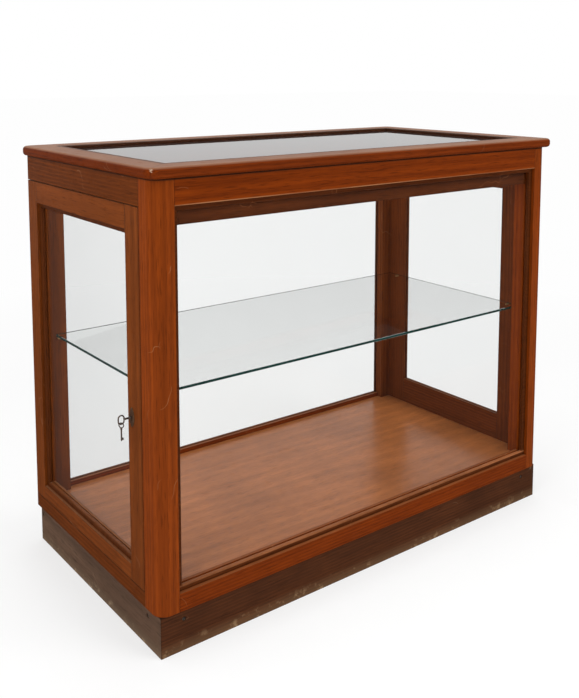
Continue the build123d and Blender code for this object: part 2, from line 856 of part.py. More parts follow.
# Escutcheon: a pointed oval plate with the keyhole
escutcheon_plane = facing((left_face, lock_axis_y, lock_axis_height), (0, -1, 0), (-1, 0, 0))
with BuildPart() as escutcheon:
    with BuildSketch(escutcheon_plane) as plate:
        with BuildLine():
            ThreePointArc((0, -escutcheon_height / 2), (escutcheon_width / 2, 0), (0, escutcheon_height / 2))
            ThreePointArc((0, escutcheon_height / 2), (-escutcheon_width / 2, 0), (0, -escutcheon_height / 2))
        make_face()
    extrude(amount=escutcheon_thickness)
    chamfer(escutcheon.faces().sort_by(Axis.X)[0].edges(), escutcheon_arris)
    keyhole(escutcheon_plane, keyhole_radius, escutcheon_thickness)
save(escutcheon.part, "escutcheon")


# Key in the lock, its bow standing upright in line with the shank
key_tip_x = lock_back - lock_wall - bolt_clearance
bow_shank_x = key_tip_x - key_shank_length
bow_centre_x = bow_shank_x - bow_width / 2 + bow_wire_radius
bow_half_width = bow_width / 2 - bow_wire_radius
bow_half_height = bow_height / 2 - bow_wire_radius
bow_straight = bow_half_height - bow_half_width
bow_plane = facing((bow_centre_x, lock_axis_y, lock_axis_height), (1, 0, 0), (0, -1, 0))
key_plane = facing((key_tip_x, lock_axis_y, lock_axis_height), (0, -1, 0), (-1, 0, 0))

key_collar_x = left_face - escutcheon_thickness - key_collar_length
key_collar_plane = facing((key_collar_x, lock_axis_y, lock_axis_height), (0, -1, 0), (-1, 0, 0))
key_bit_x = key_tip_x - key_tip_length
bow_wire_plane = facing((bow_centre_x + bow_half_width, lock_axis_y, lock_axis_height), (1, 0, 0), (0, 0, 1))

with BuildPart() as key:
    with BuildLine(bow_plane) as bow_path:
        for side in (1, -1):
            bow_x = side * bow_half_width
            bow_y = side * bow_straight
            Line((bow_x, -bow_y), (bow_x, bow_y))
            ThreePointArc((bow_x, bow_y), (0, side * bow_half_height), (-bow_x, bow_y))
    with BuildSketch(bow_wire_plane) as wire:
        Circle(bow_wire_radius)
    sweep(wire.sketch, path=bow_path.wires()[0])
    rod(key_plane, key_shank_radius, key_shank_length)
    rod(key_collar_plane, key_collar_radius, key_collar_length)
    block(
        (key_bit_x - key_bit_length, key_bit_x),
        (lock_axis_y - key_bit_thickness / 2, lock_axis_y + key_bit_thickness / 2),
        (lock_axis_height - key_bit_drop, lock_axis_height),
    )
save(key.part, "key")


# Spare key, its round bow linked through the bow of the first
link_z = lock_axis_height - bow_half_height
spare_ring_z = link_z + bow_wire_radius + spare_wire_radius + spare_link_gap - spare_ring_radius
spare_across = (cos(radians(spare_turn)), sin(radians(spare_turn)), 0)
spare_normal = (sin(radians(spare_turn)), -cos(radians(spare_turn)), 0)
spare_collar_z = spare_ring_z - spare_ring_radius - spare_collar_length
spare_tip_z = spare_collar_z - spare_shank_length
spare_plane = facing((bow_centre_x, lock_axis_y, spare_ring_z), spare_across, spare_normal)
spare_wire_plane = facing((bow_centre_x, lock_axis_y, spare_ring_z), spare_across, (0, 0, 1))
spare_bit_plane = facing((bow_centre_x, lock_axis_y, spare_tip_z), spare_across, spare_normal)

with BuildPart() as spare_key:
    with BuildSketch(spare_wire_plane) as wire:
        with Locations((spare_ring_radius, 0)):
            Circle(spare_wire_radius)
    revolve(wire.sketch, axis=Axis(spare_plane.origin, spare_plane.z_dir))
    rod(Plane((bow_centre_x, lock_axis_y, spare_collar_z)), spare_collar_radius, spare_collar_length)
    rod(Plane((bow_centre_x, lock_axis_y, spare_tip_z)), spare_shank_radius, spare_shank_length)
    with BuildSketch(spare_bit_plane) as bit:
        with Locations((spare_bit_reach / 2, spare_bit_length)):
            Rectangle(spare_bit_reach, spare_bit_length)
    extrude(bit.sketch, amount=key_bit_thickness / 2, both=True)
save(spare_key.part, "spare_key")


# Top frame: a rebated ring with rounded corners, cut into four rails
top_x = case_length / 2 + top_overhang
top_y = case_depth / 2 + top_overhang
top_opening_width = 2 * (top_x - top_rail_width)
top_opening_depth = 2 * (top_y - top_rail_width)
top_lip_top = total_height - top_bead_drop - top_bead_depth - top_pane_thickness
top_bead_plane = Plane.XY.offset(total_height - top_bead_drop)

with BuildPart() as top_ring:
    with BuildSketch(Plane.XY.offset(case_top)):
        RectangleRounded(2 * top_x, 2 * top_y, top_corner_radius)
    extrude(amount=top_thickness)
    fillet(top_ring.faces().sort_by(Axis.Z)[-1].edges(), top_edge_radius)
    fillet(top_ring.faces().sort_by(Axis.Z)[0].edges(), top_edge_radius)
    with BuildSketch(Plane.XY.offset(top_lip_top)):
        Rectangle(top_opening_width, top_opening_depth)
    extrude(amount=top_thickness, mode=Mode.SUBTRACT)
    with BuildSketch(Plane.XY.offset(case_top)):
        Rectangle(top_opening_width - 2 * bead_width, top_opening_depth - 2 * bead_width)
    extrude(amount=top_thickness, mode=Mode.SUBTRACT)

mitre_inner_x = top_x - top_rail_width - bead_width
mitre_inner_y = top_y - top_rail_width - bead_width
top_regions = {
    "front": [
        (-top_x, -top_y),
        (top_x, -top_y),
        (mitre_inner_x, -mitre_inner_y),
        (-mitre_inner_x, -mitre_inner_y),
    ],
    "left": [(-top_x, -top_y), (-mitre_inner_x, -mitre_inner_y), (-mitre_inner_x, top_y), (-top_x, top_y)],
    "right": [(top_x, -top_y), (mitre_inner_x, -mitre_inner_y), (mitre_inner_x, top_y), (top_x, top_y)],
    "rear": [
        (-mitre_inner_x, mitre_inner_y),
        (mitre_inner_x, mitre_inner_y),
        (mitre_inner_x, top_y),
        (-mitre_inner_x, top_y),
    ],
}
for rail_name, region in top_regions.items():
    with BuildPart() as top_rail:
        add(top_ring.part)
        prism(region, Plane.XY.offset(case_top), top_thickness, Mode.INTERSECT)
    save(top_rail.part, "top_frame_" + rail_name)

top_pane_plane = top_bead_plane.offset(-top_bead_depth)
save(pane(top_pane_plane, top_opening_width, top_opening_depth, top_pane_thickness), "top_glass")
save(bead_ring(top_bead_plane, top_opening_width, top_opening_depth, top_bead_depth), "top_beads")
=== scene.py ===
"""Dresses the glazed shop counter: woods, glass, metal fittings, slotted screws, camera and light."""

import logging
import math
from dataclasses import dataclass, field
from enum import Enum

import bpy
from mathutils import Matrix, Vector


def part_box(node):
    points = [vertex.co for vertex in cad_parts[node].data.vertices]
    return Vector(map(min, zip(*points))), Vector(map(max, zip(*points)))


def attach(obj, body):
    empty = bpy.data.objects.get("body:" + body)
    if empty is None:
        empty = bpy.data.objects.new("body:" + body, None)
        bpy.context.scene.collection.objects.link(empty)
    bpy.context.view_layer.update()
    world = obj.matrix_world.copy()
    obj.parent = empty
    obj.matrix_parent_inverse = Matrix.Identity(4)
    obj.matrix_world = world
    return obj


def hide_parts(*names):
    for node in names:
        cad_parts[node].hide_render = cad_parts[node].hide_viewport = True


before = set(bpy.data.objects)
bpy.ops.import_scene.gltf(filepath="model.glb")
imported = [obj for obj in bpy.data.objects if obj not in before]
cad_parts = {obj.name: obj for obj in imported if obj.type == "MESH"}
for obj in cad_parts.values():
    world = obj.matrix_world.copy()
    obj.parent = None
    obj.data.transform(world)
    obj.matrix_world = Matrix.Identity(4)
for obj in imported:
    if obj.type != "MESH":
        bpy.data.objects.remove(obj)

LOG = logging.getLogger("shop_counter")
Colour = tuple[float, float, float]
Socket = bpy.types.NodeSocket
Outputs = bpy.types.NodeOutputs
WHITE = (1.0, 1.0, 1.0, 1.0)
BLACK = (0.0, 0.0, 0.0, 1.0)


class GrainAxis(Enum):
    """Direction in which the grain of a piece runs."""

    ALONG = "x"
    ACROSS = "y"
    UPRIGHT = "z"


class Canvas:
    """Adds nodes to one node tree and links them."""

    def __init__(self, tree: bpy.types.NodeTree) -> None:
        """Start an empty tree.

        Args:
            tree: the node tree to draw in.
        """
        self.tree = tree
        self.tree.nodes.clear()

    def node(self, kind: str, inputs: dict | None = None, **settings: object) -> bpy.types.Node:
        """Add one node.

        Args:
            kind: Blender's type name of the node.
            inputs: value or linked socket for each input, by name or index.
            settings: properties of the node itself.

        Returns:
            The new node.
        """
        made = self.tree.nodes.new(kind)
        for name, value in settings.items():
            setattr(made, name, value)
        for name, value in (inputs or {}).items():
            if isinstance(value, Socket):
                self.tree.links.new(value, made.inputs[name])
            else:
                made.inputs[name].default_value = value
        return made

    def math(
        self, operation: str, first: object, second: object = 0.0, clamp: bool = False,
    ) -> Socket:
        """Do one sum on numbers or sockets.

        Args:
            operation: Blender's name of the sum.
            first: the first number.
            second: the second number, where the sum has one.
            clamp: whether the result stays between 0 and 1.

        Returns:
            The result.
        """
        inputs = {0: first, 1: second}
        return self.node("ShaderNodeMath", inputs, operation=operation, use_clamp=clamp).outputs[0]

    def plus(self, first: object, second: object, clamp: bool = False) -> Socket:
        """Return one number plus another."""
        return self.math("ADD", first, second, clamp)

    def minus(self, first: object, second: object, clamp: bool = False) -> Socket:
        """Return one number less another."""
        return self.math("SUBTRACT", first, second, clamp)

    def times(self, first: object, second: object, clamp: bool = False) -> Socket:
        """Return one number times another."""
        return self.math("MULTIPLY", first, second, clamp)

    def larger(self, first: object, second: object) -> Socket:
        """Return the larger of two numbers."""
        return self.math("MAXIMUM", first, second)

    def vector(self, operation: str, first: object, second: object = (0.0, 0.0, 0.0)) -> Outputs:
        """Do one sum on vectors.

        Args:
            operation: Blender's name of the sum.
            first: the first vector.
            second: the second vector, where the sum has one.

        Returns:
            The node's outputs: Vector, and Value where the sum gives a number.
        """
        return self.node("ShaderNodeVectorMath", {0: first, 1: second}, operation=operation).outputs

    def stretched(self, vector: object, factor: object) -> Socket:
        """Return a vector times a factor for each axis."""
        return self.vector("MULTIPLY", vector, factor)["Vector"]

    def parts(self, vector: object) -> Outputs:
        """Return the X, Y and Z of a vector."""
        return self.node("ShaderNodeSeparateXYZ", {0: vector}).outputs

    def ramp(self, value: object, low: float, high: float) -> Socket:
        """Return a value stretched from low..high to 0..1 and clamped."""
        inputs = {"Value": value, "From Min": low, "From Max": high}
        return self.node("ShaderNodeMapRange", inputs, clamp=True).outputs["Result"]

    def noise(
        self, vector: object, scale: object, detail: float = 2.0, roughness: float = 0.5,
    ) -> Outputs:
        """Read a noise texture.

        Args:
            vector: the point to read it at.
            scale: how many clouds to the metre.
            detail: how many finer layers it has.
            roughness: how strong those layers are.

        Returns:
            The texture's outputs, Fac and Color.
        """
        inputs = {"Vector": vector, "Scale": scale, "Detail": detail, "Roughness": roughness}
        return self.node("ShaderNodeTexNoise", inputs).outputs

    def mix(self, share: object, first: object, second: object) -> Socket:
        """Return two colours mixed by the share of the second."""
        inputs = {0: share, 6: first, 7: second}
        return self.node("ShaderNodeMix", inputs, data_type="RGBA", clamp_factor=True).outputs[2]

    def blend(self, share: object, first: object, second: object) -> Socket:
        """Return two shaders mixed by the share of the second."""
        return self.node("ShaderNodeMixShader", {0: share, 1: first, 2: second}).outputs[0]

    def rays(self) -> tuple[Outputs, Socket, Socket]:
        """Tell the kinds of light rays apart.

        Returns:
            All kinds, those that the camera sees straight or through glass, and those that a surface
            mirrors without glass on the way.
        """
        path = self.node("ShaderNodeLightPath").outputs
        seen = self.larger(path["Is Camera Ray"], path["Is Transmission Ray"])
        mirrored = self.times(path["Is Glossy Ray"], self.minus(1.0, path["Is Transmission Ray"]))
        return path, seen, mirrored


class EffectGroup:
    """A shader node group with named inputs and outputs, built once and placed in many materials."""

    title = "Effect"
    sockets_in: tuple[tuple[str, str, object], ...] = ()
    sockets_out: tuple[tuple[str, str], ...] = ()

    def __init__(self) -> None:
        """Build the group's tree."""
        self.tree = bpy.data.node_groups.new(self.title, "ShaderNodeTree")
        canvas = Canvas(self.tree)
        for name, kind, default in self.sockets_in:
            socket = self.tree.interface.new_socket(name, in_out="INPUT", socket_type=kind)
            if default is not None:
                socket.default_value = default
        for name, kind in self.sockets_out:
            self.tree.interface.new_socket(name, in_out="OUTPUT", socket_type=kind)
        source = canvas.node("NodeGroupInput")
        results = self.draw(canvas, source.outputs)
        canvas.node("NodeGroupOutput", results)

    def draw(self, canvas: Canvas, given: Outputs) -> dict[str, Socket]:
        """Draw the inside of the group.

        Args:
            canvas: the canvas of the group's tree.
            given: the group's input sockets.

        Returns:
            The socket for each named output.
        """
        raise NotImplementedError

    def place(self, canvas: Canvas, inputs: dict) -> Outputs:
        """Place the group in a material and return its outputs."""
        return canvas.node("ShaderNodeGroup", inputs, node_tree=self.tree).outputs


class WoodGrain(EffectGroup):
    """Growth rings, fibres and pores of wood whose grain runs along X."""

    title = "Wood grain"
    sockets_in = (
        ("Vector", "NodeSocketVector", None),
        ("Light", "NodeSocketColor", (0.3, 0.15, 0.05, 1.0)),
        ("Dark", "NodeSocketColor", (0.1, 0.04, 0.02, 1.0)),
        ("Ring Scale", "NodeSocketFloat", 50.0),
        ("Ring Share", "NodeSocketFloat", 0.5),
        ("Contrast", "NodeSocketFloat", 1.0),
        ("Wander", "NodeSocketFloat", 0.008),
    )
    sockets_out = (("Colour", "NodeSocketColor"), ("Height", "NodeSocketFloat"))
    roll = 0.6
    late_wood = 1.6
    broad_share = 0.3
    pore_depth = 0.6

    def draw(self, canvas: Canvas, given: Outputs) -> dict[str, Socket]:
        """Draw rings warped by noise, with long fibres and short dark pores over them."""
        roll = {"Vector": given["Vector"], "Rotation": (self.roll, 0.0, 0.0)}
        rolled = canvas.node("ShaderNodeMapping", roll).outputs[0]
        slow = canvas.stretched(rolled, (0.16, 1.0, 1.0))
        reach = canvas.node("ShaderNodeCombineXYZ", {"Y": given["Wander"], "Z": given["Wander"]}).outputs[0]
        bend = canvas.vector("SUBTRACT", canvas.noise(slow, 7.0)["Color"], (0.5, 0.5, 0.5))["Vector"]
        warped = canvas.vector("ADD", slow, canvas.stretched(bend, reach))["Vector"]
        rings = canvas.node("ShaderNodeTexWave", {
            "Vector": warped, "Scale": given["Ring Scale"], "Distortion": 0.7, "Detail": 2.0,
            "Detail Scale": 0.8,
        }, wave_type="RINGS", rings_direction="X").outputs["Fac"]
        late = canvas.math("POWER", rings, self.late_wood)
        fibres = canvas.noise(canvas.stretched(rolled, (0.025, 1.0, 1.0)), 300.0, 4.0, 0.65)["Fac"]
        broad = canvas.noise(canvas.stretched(rolled, (0.05, 1.0, 1.0)), 55.0)["Fac"]
        pores = canvas.noise(canvas.stretched(rolled, (0.045, 1.0, 1.0)), 620.0, 1.0)["Fac"]
        pores = canvas.times(canvas.ramp(pores, 0.56, 0.70), self.pore_depth)
        fine_part = canvas.times(fibres, 1.0 - self.broad_share)
        strands = canvas.plus(fine_part, canvas.times(broad, self.broad_share))
        ring_part = canvas.times(late, given["Ring Share"])
        strand_part = canvas.times(strands, canvas.minus(1.0, given["Ring Share"]))
        figure = canvas.plus(ring_part, strand_part)
        spread = canvas.times(canvas.minus(figure, 0.5), given["Contrast"])
        colour = canvas.mix(canvas.plus(spread, 0.5, clamp=True), given["Dark"], given["Light"])
        pored = canvas.mix(pores, colour, canvas.mix(0.45, given["Dark"], BLACK))
        return {"Colour": pored, "Height": canvas.minus(figure, pores)}


class EdgeWearAndShade(EffectGroup):
    """Mask of the sharp edges of a piece, broken up, and a normal that rounds them; wood darkens by it with
    dirt and painted shade, metal is rubbed bare by it.
    """

    title = "Edge wear and shade"
    sockets_in = (
        ("Vector", "NodeSocketVector", None),
        ("Breakup Scale", "NodeSocketFloat", 60.0),
        ("Gain", "NodeSocketFloat", 8.0),
    )
    sockets_out = (("Mask", "NodeSocketFloat"), ("Normal", "NodeSocketVector"))
    round_radius = 0.0022

    def draw(self, canvas: Canvas, given: Outputs) -> dict[str, Socket]:
        """Compare the rounded normal with the true one."""
        rounded = canvas.node("ShaderNodeBevel", {"Radius": self.round_radius}, samples=4).outputs[0]
        true_normal = canvas.node("ShaderNodeNewGeometry").outputs["Normal"]
        closeness = canvas.vector("DOT_PRODUCT", rounded, true_normal)["Value"]
        edge = canvas.times(canvas.minus(1.0, closeness), given["Gain"], clamp=True)
        breakup = canvas.noise(given["Vector"], given["Breakup Scale"], 3.0)["Fac"]
        return {"Mask": canvas.times(edge, canvas.ramp(breakup, 0.32, 0.54)), "Normal": rounded}


class Patina(EffectGroup):
    """Cloudy ageing of a polished surface: broad mottling and fine rubbed spots."""

    title = "Patina"
    sockets_in = (("Vector", "NodeSocketVector", None), ("Scale", "NodeSocketFloat", 6.0))
    sockets_out = (("Mottle", "NodeSocketFloat"), ("Rub", "NodeSocketFloat"))
    fineness = 9.0

    def draw(self, canvas: Canvas, given: Outputs) -> dict[str, Socket]:
        """Draw two noises of different size."""
        broad = canvas.noise(given["Vector"], given["Scale"], 4.0, 0.62)["Fac"]
        fine = canvas.noise(given["Vector"], canvas.times(given["Scale"], self.fineness), 4.0, 0.7)["Fac"]
        return {"Mottle": canvas.ramp(broad, 0.34, 0.68), "Rub": canvas.ramp(fine, 0.56, 0.72)}


class Scratches(EffectGroup):
    """Sparse thin scratches and small knocks."""

    title = "Scratches"
    sockets_in = (("Vector", "NodeSocketVector", None), ("Scale", "NodeSocketFloat", 9.0))
    sockets_out = (("Mask", "NodeSocketFloat"),)
    line_width = 0.006

    def draw(self, canvas: Canvas, given: Outputs) -> dict[str, Socket]:
        """Draw the borders of large warped cells and keep only short stretches of them."""
        bend = canvas.stretched(canvas.noise(given["Vector"], 11.0)["Color"], (0.12, 0.12, 0.12))
        bent = canvas.vector("ADD", given["Vector"], bend)["Vector"]
        inputs = {"Vector": bent, "Scale": given["Scale"]}
        cells = canvas.node("ShaderNodeTexVoronoi", inputs, feature="DISTANCE_TO_EDGE").outputs["Distance"]
        keep = canvas.ramp(canvas.noise(given["Vector"], 17.0, 1.0)["Fac"], 0.63, 0.68)
        return {"Mask": canvas.times(canvas.ramp(cells, self.line_width, 0.0), keep)}


class SpotWear(EffectGroup):
    """Broken-up wear round one point."""

    title = "Spot wear"
    sockets_in = (
        ("Vector", "NodeSocketVector", None),
        ("Centre", "NodeSocketVector", (0.0, 0.0, 0.0)),
        ("Radius", "NodeSocketFloat", 0.02),
    )
    sockets_out = (("Mask", "NodeSocketFloat"),)

    def draw(self, canvas: Canvas, given: Outputs) -> dict[str, Socket]:
        """Fade noise out with the distance from the centre."""
        away = canvas.vector("DISTANCE", given["Vector"], given["Centre"])["Value"]
        near = canvas.minus(1.0, canvas.math("DIVIDE", away, given["Radius"]), clamp=True)
        grain = canvas.noise(given["Vector"], 420.0)["Fac"]
        return {"Mask": canvas.ramp(canvas.times(near, grain), 0.30, 0.42)}


@dataclass
class Effects:
    """The shared effect groups, each built once."""

    grain: WoodGrain = field(default_factory=WoodGrain)
    edges: EdgeWearAndShade = field(default_factory=EdgeWearAndShade)
    patina: Patina = field(default_factory=Patina)
    scratches: Scratches = field(default_factory=Scratches)
    spots: SpotWear = field(default_factory=SpotWear)


def opaque(colour: Colour) -> tuple[float, float, float, float]:
    """Return a colour with full alpha."""
    return (*colour, 1.0)


def new_material(name: str) -> tuple[bpy.types.Material, Canvas]:
    """Start an empty node material.

    Args:
        name: the material's name.

    Returns:
        The material and a canvas on its tree.
    """
    material = bpy.data.materials.new(name)
    material.use_nodes = True
    return material, Canvas(material.node_tree)


def finish_surface(canvas: Canvas, shader: Socket) -> None:
    """Link a shader to the material's output."""
    canvas.node("ShaderNodeOutputMaterial", {"Surface": shader})


@dataclass(frozen=True)
class Marks:
    """Marks of joints and use, and painted shade and highlight, on the pieces of one sub-assembly.

    Attributes:
        chips: points where the polish is chipped.
        seam: height of a painted shadow line that the pieces end under, or None.
        lip_wear_and_highlight: height of an edge that is rubbed pale and given a painted highlight, or None.
        rings: half sizes in plan of the rectangles that dark lines follow: dirt in the joints and painted
            shade of the steps beside the top beads.
        tilt: slope of the log's heart, in radians.
    """

    chips: tuple[Vector, ...] = ()
    seam: float | None = None
    lip_wear_and_highlight: float | None = None
    rings: tuple[tuple[float, float], ...] = ()
    tilt: float = 0.0


GRAIN_TURNS = {
    GrainAxis.ALONG: (0.0, 0.0, 0.0),
    GrainAxis.ACROSS: (0.0, 0.0, -math.pi / 2),
    GrainAxis.UPRIGHT: (0.0, math.pi / 2, 0.0),
}
# The heart of the log goes round each piece by this angle, nearer or further in four steps.
HEART_START, HEART_ANGLE, HEART_SLIDE = 1.3, 2.399, 0.37
HEART_REACH, HEART_STEP, HEART_STEPS = 0.075, 0.03, 4
TILT_SIDEWAYS = 0.35
MOTTLE_SCALE, SCRATCH_SCALE, EDGE_SCALE = 5.0, 9.0, 45.0
FOOT_HEIGHT = 0.026
CHIP_RADIUS = 0.010
CHIP_COLOUR = (0.46, 0.31, 0.21)


@dataclass(frozen=True)
class WoodFinish:
    """A stained and polished wood.

    Attributes:
        light: colour of the early wood.
        dark: colour of the late wood and pores.
        pale_wear_and_sheen: colour that upward faces turn to, for fading and a painted sheen; also the colour
            of pale scratches and rubbed edges.
        fade_and_sheen: how far upward faces turn to that colour, with fading and painted sheen.
        grime_and_shade: colour of the dirt and the painted shade in joints and at sharp edges, also of the
            painted shadow lines.
        edge: how strongly sharp edges take that colour.
        ring_scale: density of growth rings.
        ring_share: share of the rings in the figure.
        contrast: strength of the figure.
        roughness: gloss of the polish.
        coat: weight of the clear polish.
        mottle: strength of the cloudy ageing.
        shine: strength of the reflection at a square look.
        wander: how far the rings wander from the straight, in metres.
        foot: colour of the scuffs near the floor, or None.
    """

    light: Colour
    dark: Colour
    pale_wear_and_sheen: Colour
    fade_and_sheen: float = 0.3
    grime_and_shade: Colour = (0.030, 0.012, 0.006)
    edge: float = 0.65
    ring_scale: float = 44.0
    ring_share: float = 0.2
    contrast: float = 1.5
    roughness: float = 0.42
    coat: float = 0.0
    mottle: float = 0.38
    shine: float = 0.06
    wander: float = 0.008
    foot: Colour | None = None

    def build(
        self, name: str, effects: Effects, axis: GrainAxis, centre: Vector, turn: int, marks: Marks,
    ) -> bpy.types.Material:
        """Make the material for one piece.

        Args:
            name: the material's name.
            effects: the shared effect groups.
            axis: the direction of the grain.
            centre: the middle of the piece, which sets where its rings lie.
            turn: a whole number that tells this piece's figure from the next one's.
            marks: joints, wear, painted shadow lines and a painted highlight on the piece.

        Returns:
            The finished material.
        """
        material, canvas = new_material(name)
        spot = canvas.node("ShaderNodeTexCoord").outputs
        place = spot["Object"]
        laid = self._laid(canvas, place, axis, centre, turn, marks.tilt)
        grain = effects.grain.place(canvas, {
            "Vector": laid, "Light": opaque(self.light), "Dark": opaque(self.dark),
            "Ring Scale": self.ring_scale, "Ring Share": self.ring_share, "Contrast": self.contrast,
            "Wander": self.wander,
        })
        patina = effects.patina.place(canvas, {"Vector": laid, "Scale": MOTTLE_SCALE})
        edges = effects.edges.place(canvas, {"Vector": place, "Breakup Scale": EDGE_SCALE})
        shade = canvas.mix(canvas.times(patina["Mottle"], self.mottle), grain["Colour"], opaque(self.dark))
        # Upward faces turn towards the pale colour: partly real fading, partly a painted sheen of the bright
        # surroundings.
        upward = canvas.ramp(canvas.parts(spot["Normal"])["Z"], 0.55, 0.95)
        fade_and_sheen = canvas.times(upward, canvas.plus(canvas.times(patina["Mottle"], -0.3 * self.fade_and_sheen), self.fade_and_sheen))
        shade = canvas.mix(fade_and_sheen, shade, opaque(self.pale_wear_and_sheen))
        shade = self._used(canvas, shade, effects, place, patina, edges, marks)
        rough = canvas.plus(canvas.times(patina["Rub"], 0.16), self.roughness, clamp=True)
        bump = canvas.node("ShaderNodeBump", {
            "Strength": 0.22, "Distance": 0.0004, "Height": grain["Height"], "Normal": edges["Normal"],
        })
        shader = canvas.node("ShaderNodeBsdfPrincipled", {
            "Base Color": shade, "Roughness": rough, "Normal": bump.outputs[0], "IOR": 1.45,
            "Specular IOR Level": self.shine, "Coat Weight": self.coat, "Coat Roughness": 0.2,
        })
        finish_surface(canvas, shader.outputs[0])
        return material

    def _laid(
        self, canvas: Canvas, place: Socket, axis: GrainAxis, centre: Vector, turn: int, tilt: float,
    ) -> Socket:
        """Lay the grain along X, beside the heart of the log.

        Args:
            canvas: the canvas of the material.
            place: the point on the object.
            axis: the direction of the grain.
            centre: the middle of the piece.
            turn: a whole number of the piece.
            tilt: slope of the heart, in radians.

        Returns:
            The point as the wood's own place.
        """
        mapped = {
            GrainAxis.ALONG: Vector((centre.x, centre.y, centre.z)),
            GrainAxis.ACROSS: Vector((centre.y, -centre.x, centre.z)),
            GrainAxis.UPRIGHT: Vector((centre.z, centre.y, -centre.x)),
        }[axis]
        angle = HEART_START + HEART_ANGLE * turn
        reach = HEART_REACH + HEART_STEP * (turn % HEART_STEPS)
        heart = Vector((HEART_SLIDE * turn, reach * math.cos(angle), reach * math.sin(angle)))
        turning = {"Vector": place, "Rotation": GRAIN_TURNS[axis], "Location": heart - mapped}
        laid = canvas.node("ShaderNodeMapping", turning).outputs[0]
        if tilt:
            tilting = {"Vector": laid, "Rotation": (0.0, tilt, TILT_SIDEWAYS * tilt)}
            laid = canvas.node("ShaderNodeMapping", tilting).outputs[0]
        return laid

    def _used(
        self, canvas: Canvas, shade: Socket, effects: Effects, place: Socket,
        patina: Outputs, edges: Outputs, marks: Marks,
    ) -> Socket:
        """Add scratches, scuffs at the foot, dirt and painted shade at the edges, and the marks of joints and
        use, with painted shadow lines and a painted highlight.

        Args:
            canvas: the canvas of the material.
            shade: the colour so far.
            effects: the shared effect groups.
            place: the point on the object.
            patina: outputs of the patina.
            edges: outputs of the edge wear.
            marks: the marks of this piece.

        Returns:
            The colour with all of it.
        """
        axes = canvas.parts(place)
        scratch = effects.scratches.place(canvas, {"Vector": place, "Scale": SCRATCH_SCALE})["Mask"]
        shade = canvas.mix(canvas.times(scratch, 0.45), shade, opaque(self.pale_wear_and_sheen))
        if self.foot:
            low = canvas.ramp(axes["Z"], FOOT_HEIGHT, 0.0)
            scuff = canvas.times(low, canvas.plus(patina["Rub"], 0.25, clamp=True))
            shade = canvas.mix(scuff, shade, opaque(self.foot))
        # Sharp edges and joints darken: dirt, and painted shade such as the dark shadow lines along the
        # beads.
        shade = canvas.mix(canvas.times(edges["Mask"], self.edge), shade, opaque(self.grime_and_shade))
        # Painted shadow: a dark band just under the given height, for the shade under the top board and under
        # the case above the plinth.
        if marks.seam:
            under = canvas.ramp(axes["Z"], marks.seam - 0.0045, marks.seam - 0.002)
            shade = canvas.mix(under, shade, opaque(self.grime_and_shade))
        # A thin pale line at the given height: rubbed polish and a painted edge highlight.
        if marks.lip_wear_and_highlight:
            off = canvas.math("ABSOLUTE", canvas.minus(axes["Z"], marks.lip_wear_and_highlight))
            uneven = canvas.plus(patina["Mottle"], 0.2, clamp=True)
            rubbed = canvas.times(canvas.ramp(off, 0.0022, 0.0008), uneven)
            shade = canvas.mix(canvas.times(rubbed, 0.8), shade, opaque(self.pale_wear_and_sheen))
        # Dark lines along the given rectangles: dirt in the joints and the painted shade of the steps beside
        # the top beads.
        for half_x, half_y in marks.rings:
            beyond_x = canvas.minus(canvas.math("ABSOLUTE", axes["X"]), half_x)
            beyond_y = canvas.minus(canvas.math("ABSOLUTE", axes["Y"]), half_y)
            off = canvas.math("ABSOLUTE", canvas.larger(beyond_x, beyond_y))
            joint_shade_line = canvas.times(canvas.ramp(off, 0.0040, 0.0022), 0.9)
            shade = canvas.mix(joint_shade_line, shade, opaque(self.grime_and_shade))
        for point in marks.chips:
            spot = {"Vector": place, "Centre": point, "Radius": CHIP_RADIUS}
            shade = canvas.mix(effects.spots.place(canvas, spot)["Mask"], shade, opaque(CHIP_COLOUR))
        return shade


DUST_COLOUR = (0.70, 0.71, 0.70)


@dataclass(frozen=True)
class GlassFinish:
    """A sheet of clear glass whose cut edges show a colour of their own, one on the edges facing the front
    and the door and one on the others; on the shelf these are painted shade and painted light.

    Attributes:
        face: tint of the polished faces.
        near_cut_shaded: colour of the cut edges at the front and at the door; on the shelf a painted shade.
        far_cut_lit: colour of the other cut edges; on the shelf a painted light.
        flat: index of the axis that the faces look along.
        bending: index of refraction, which also sets how strongly it mirrors.
        dust: share of the dust where it lies thickest.
    """

    face: Colour
    near_cut_shaded: Colour
    far_cut_lit: Colour
    flat: int
    bending: float
    dust: float = 0.05

    def build(self, name: str, effects: Effects) -> bpy.types.Material:
        """Make the material.

        Args:
            name: the material's name.
            effects: the shared effect groups.

        Returns:
            The finished material.
        """
        material, canvas = new_material(name)
        spot = canvas.node("ShaderNodeTexCoord").outputs
        parts = canvas.parts(spot["Normal"])
        faced = canvas.ramp(canvas.math("ABSOLUTE", parts[self.flat]), 0.5, 0.9)
        dust = effects.patina.place(canvas, {"Vector": spot["Object"], "Scale": 2.5})["Mottle"]
        film = canvas.mix(canvas.times(dust, self.dust), opaque(self.face), opaque(DUST_COLOUR))
        glass = canvas.node("ShaderNodeBsdfPrincipled", {
            "Base Color": film, "Roughness": 0.0, "IOR": self.bending, "Transmission Weight": 1.0,
        })
        # Edges facing the front and the door take the near colour and the others the far colour: on the shelf
        # a painted shade and a painted light.
        front = canvas.ramp(canvas.plus(parts["X"], parts["Y"]), -0.4, -0.6)
        cut = canvas.node("ShaderNodeBsdfPrincipled", {
            "Base Color": canvas.mix(front, opaque(self.far_cut_lit), opaque(self.near_cut_shaded)), "Roughness": 0.2,
        })
        sheet = canvas.blend(faced, cut.outputs[0], glass.outputs[0])
        clear = canvas.node("ShaderNodeBsdfTransparent", {"Color": film}).outputs[0]
        path, _, mirrored = canvas.rays()
        passing = canvas.larger(canvas.larger(path["Is Shadow Ray"], path["Is Diffuse Ray"]), mirrored)
        finish_surface(canvas, canvas.blend(passing, sheet, clear))
        return material


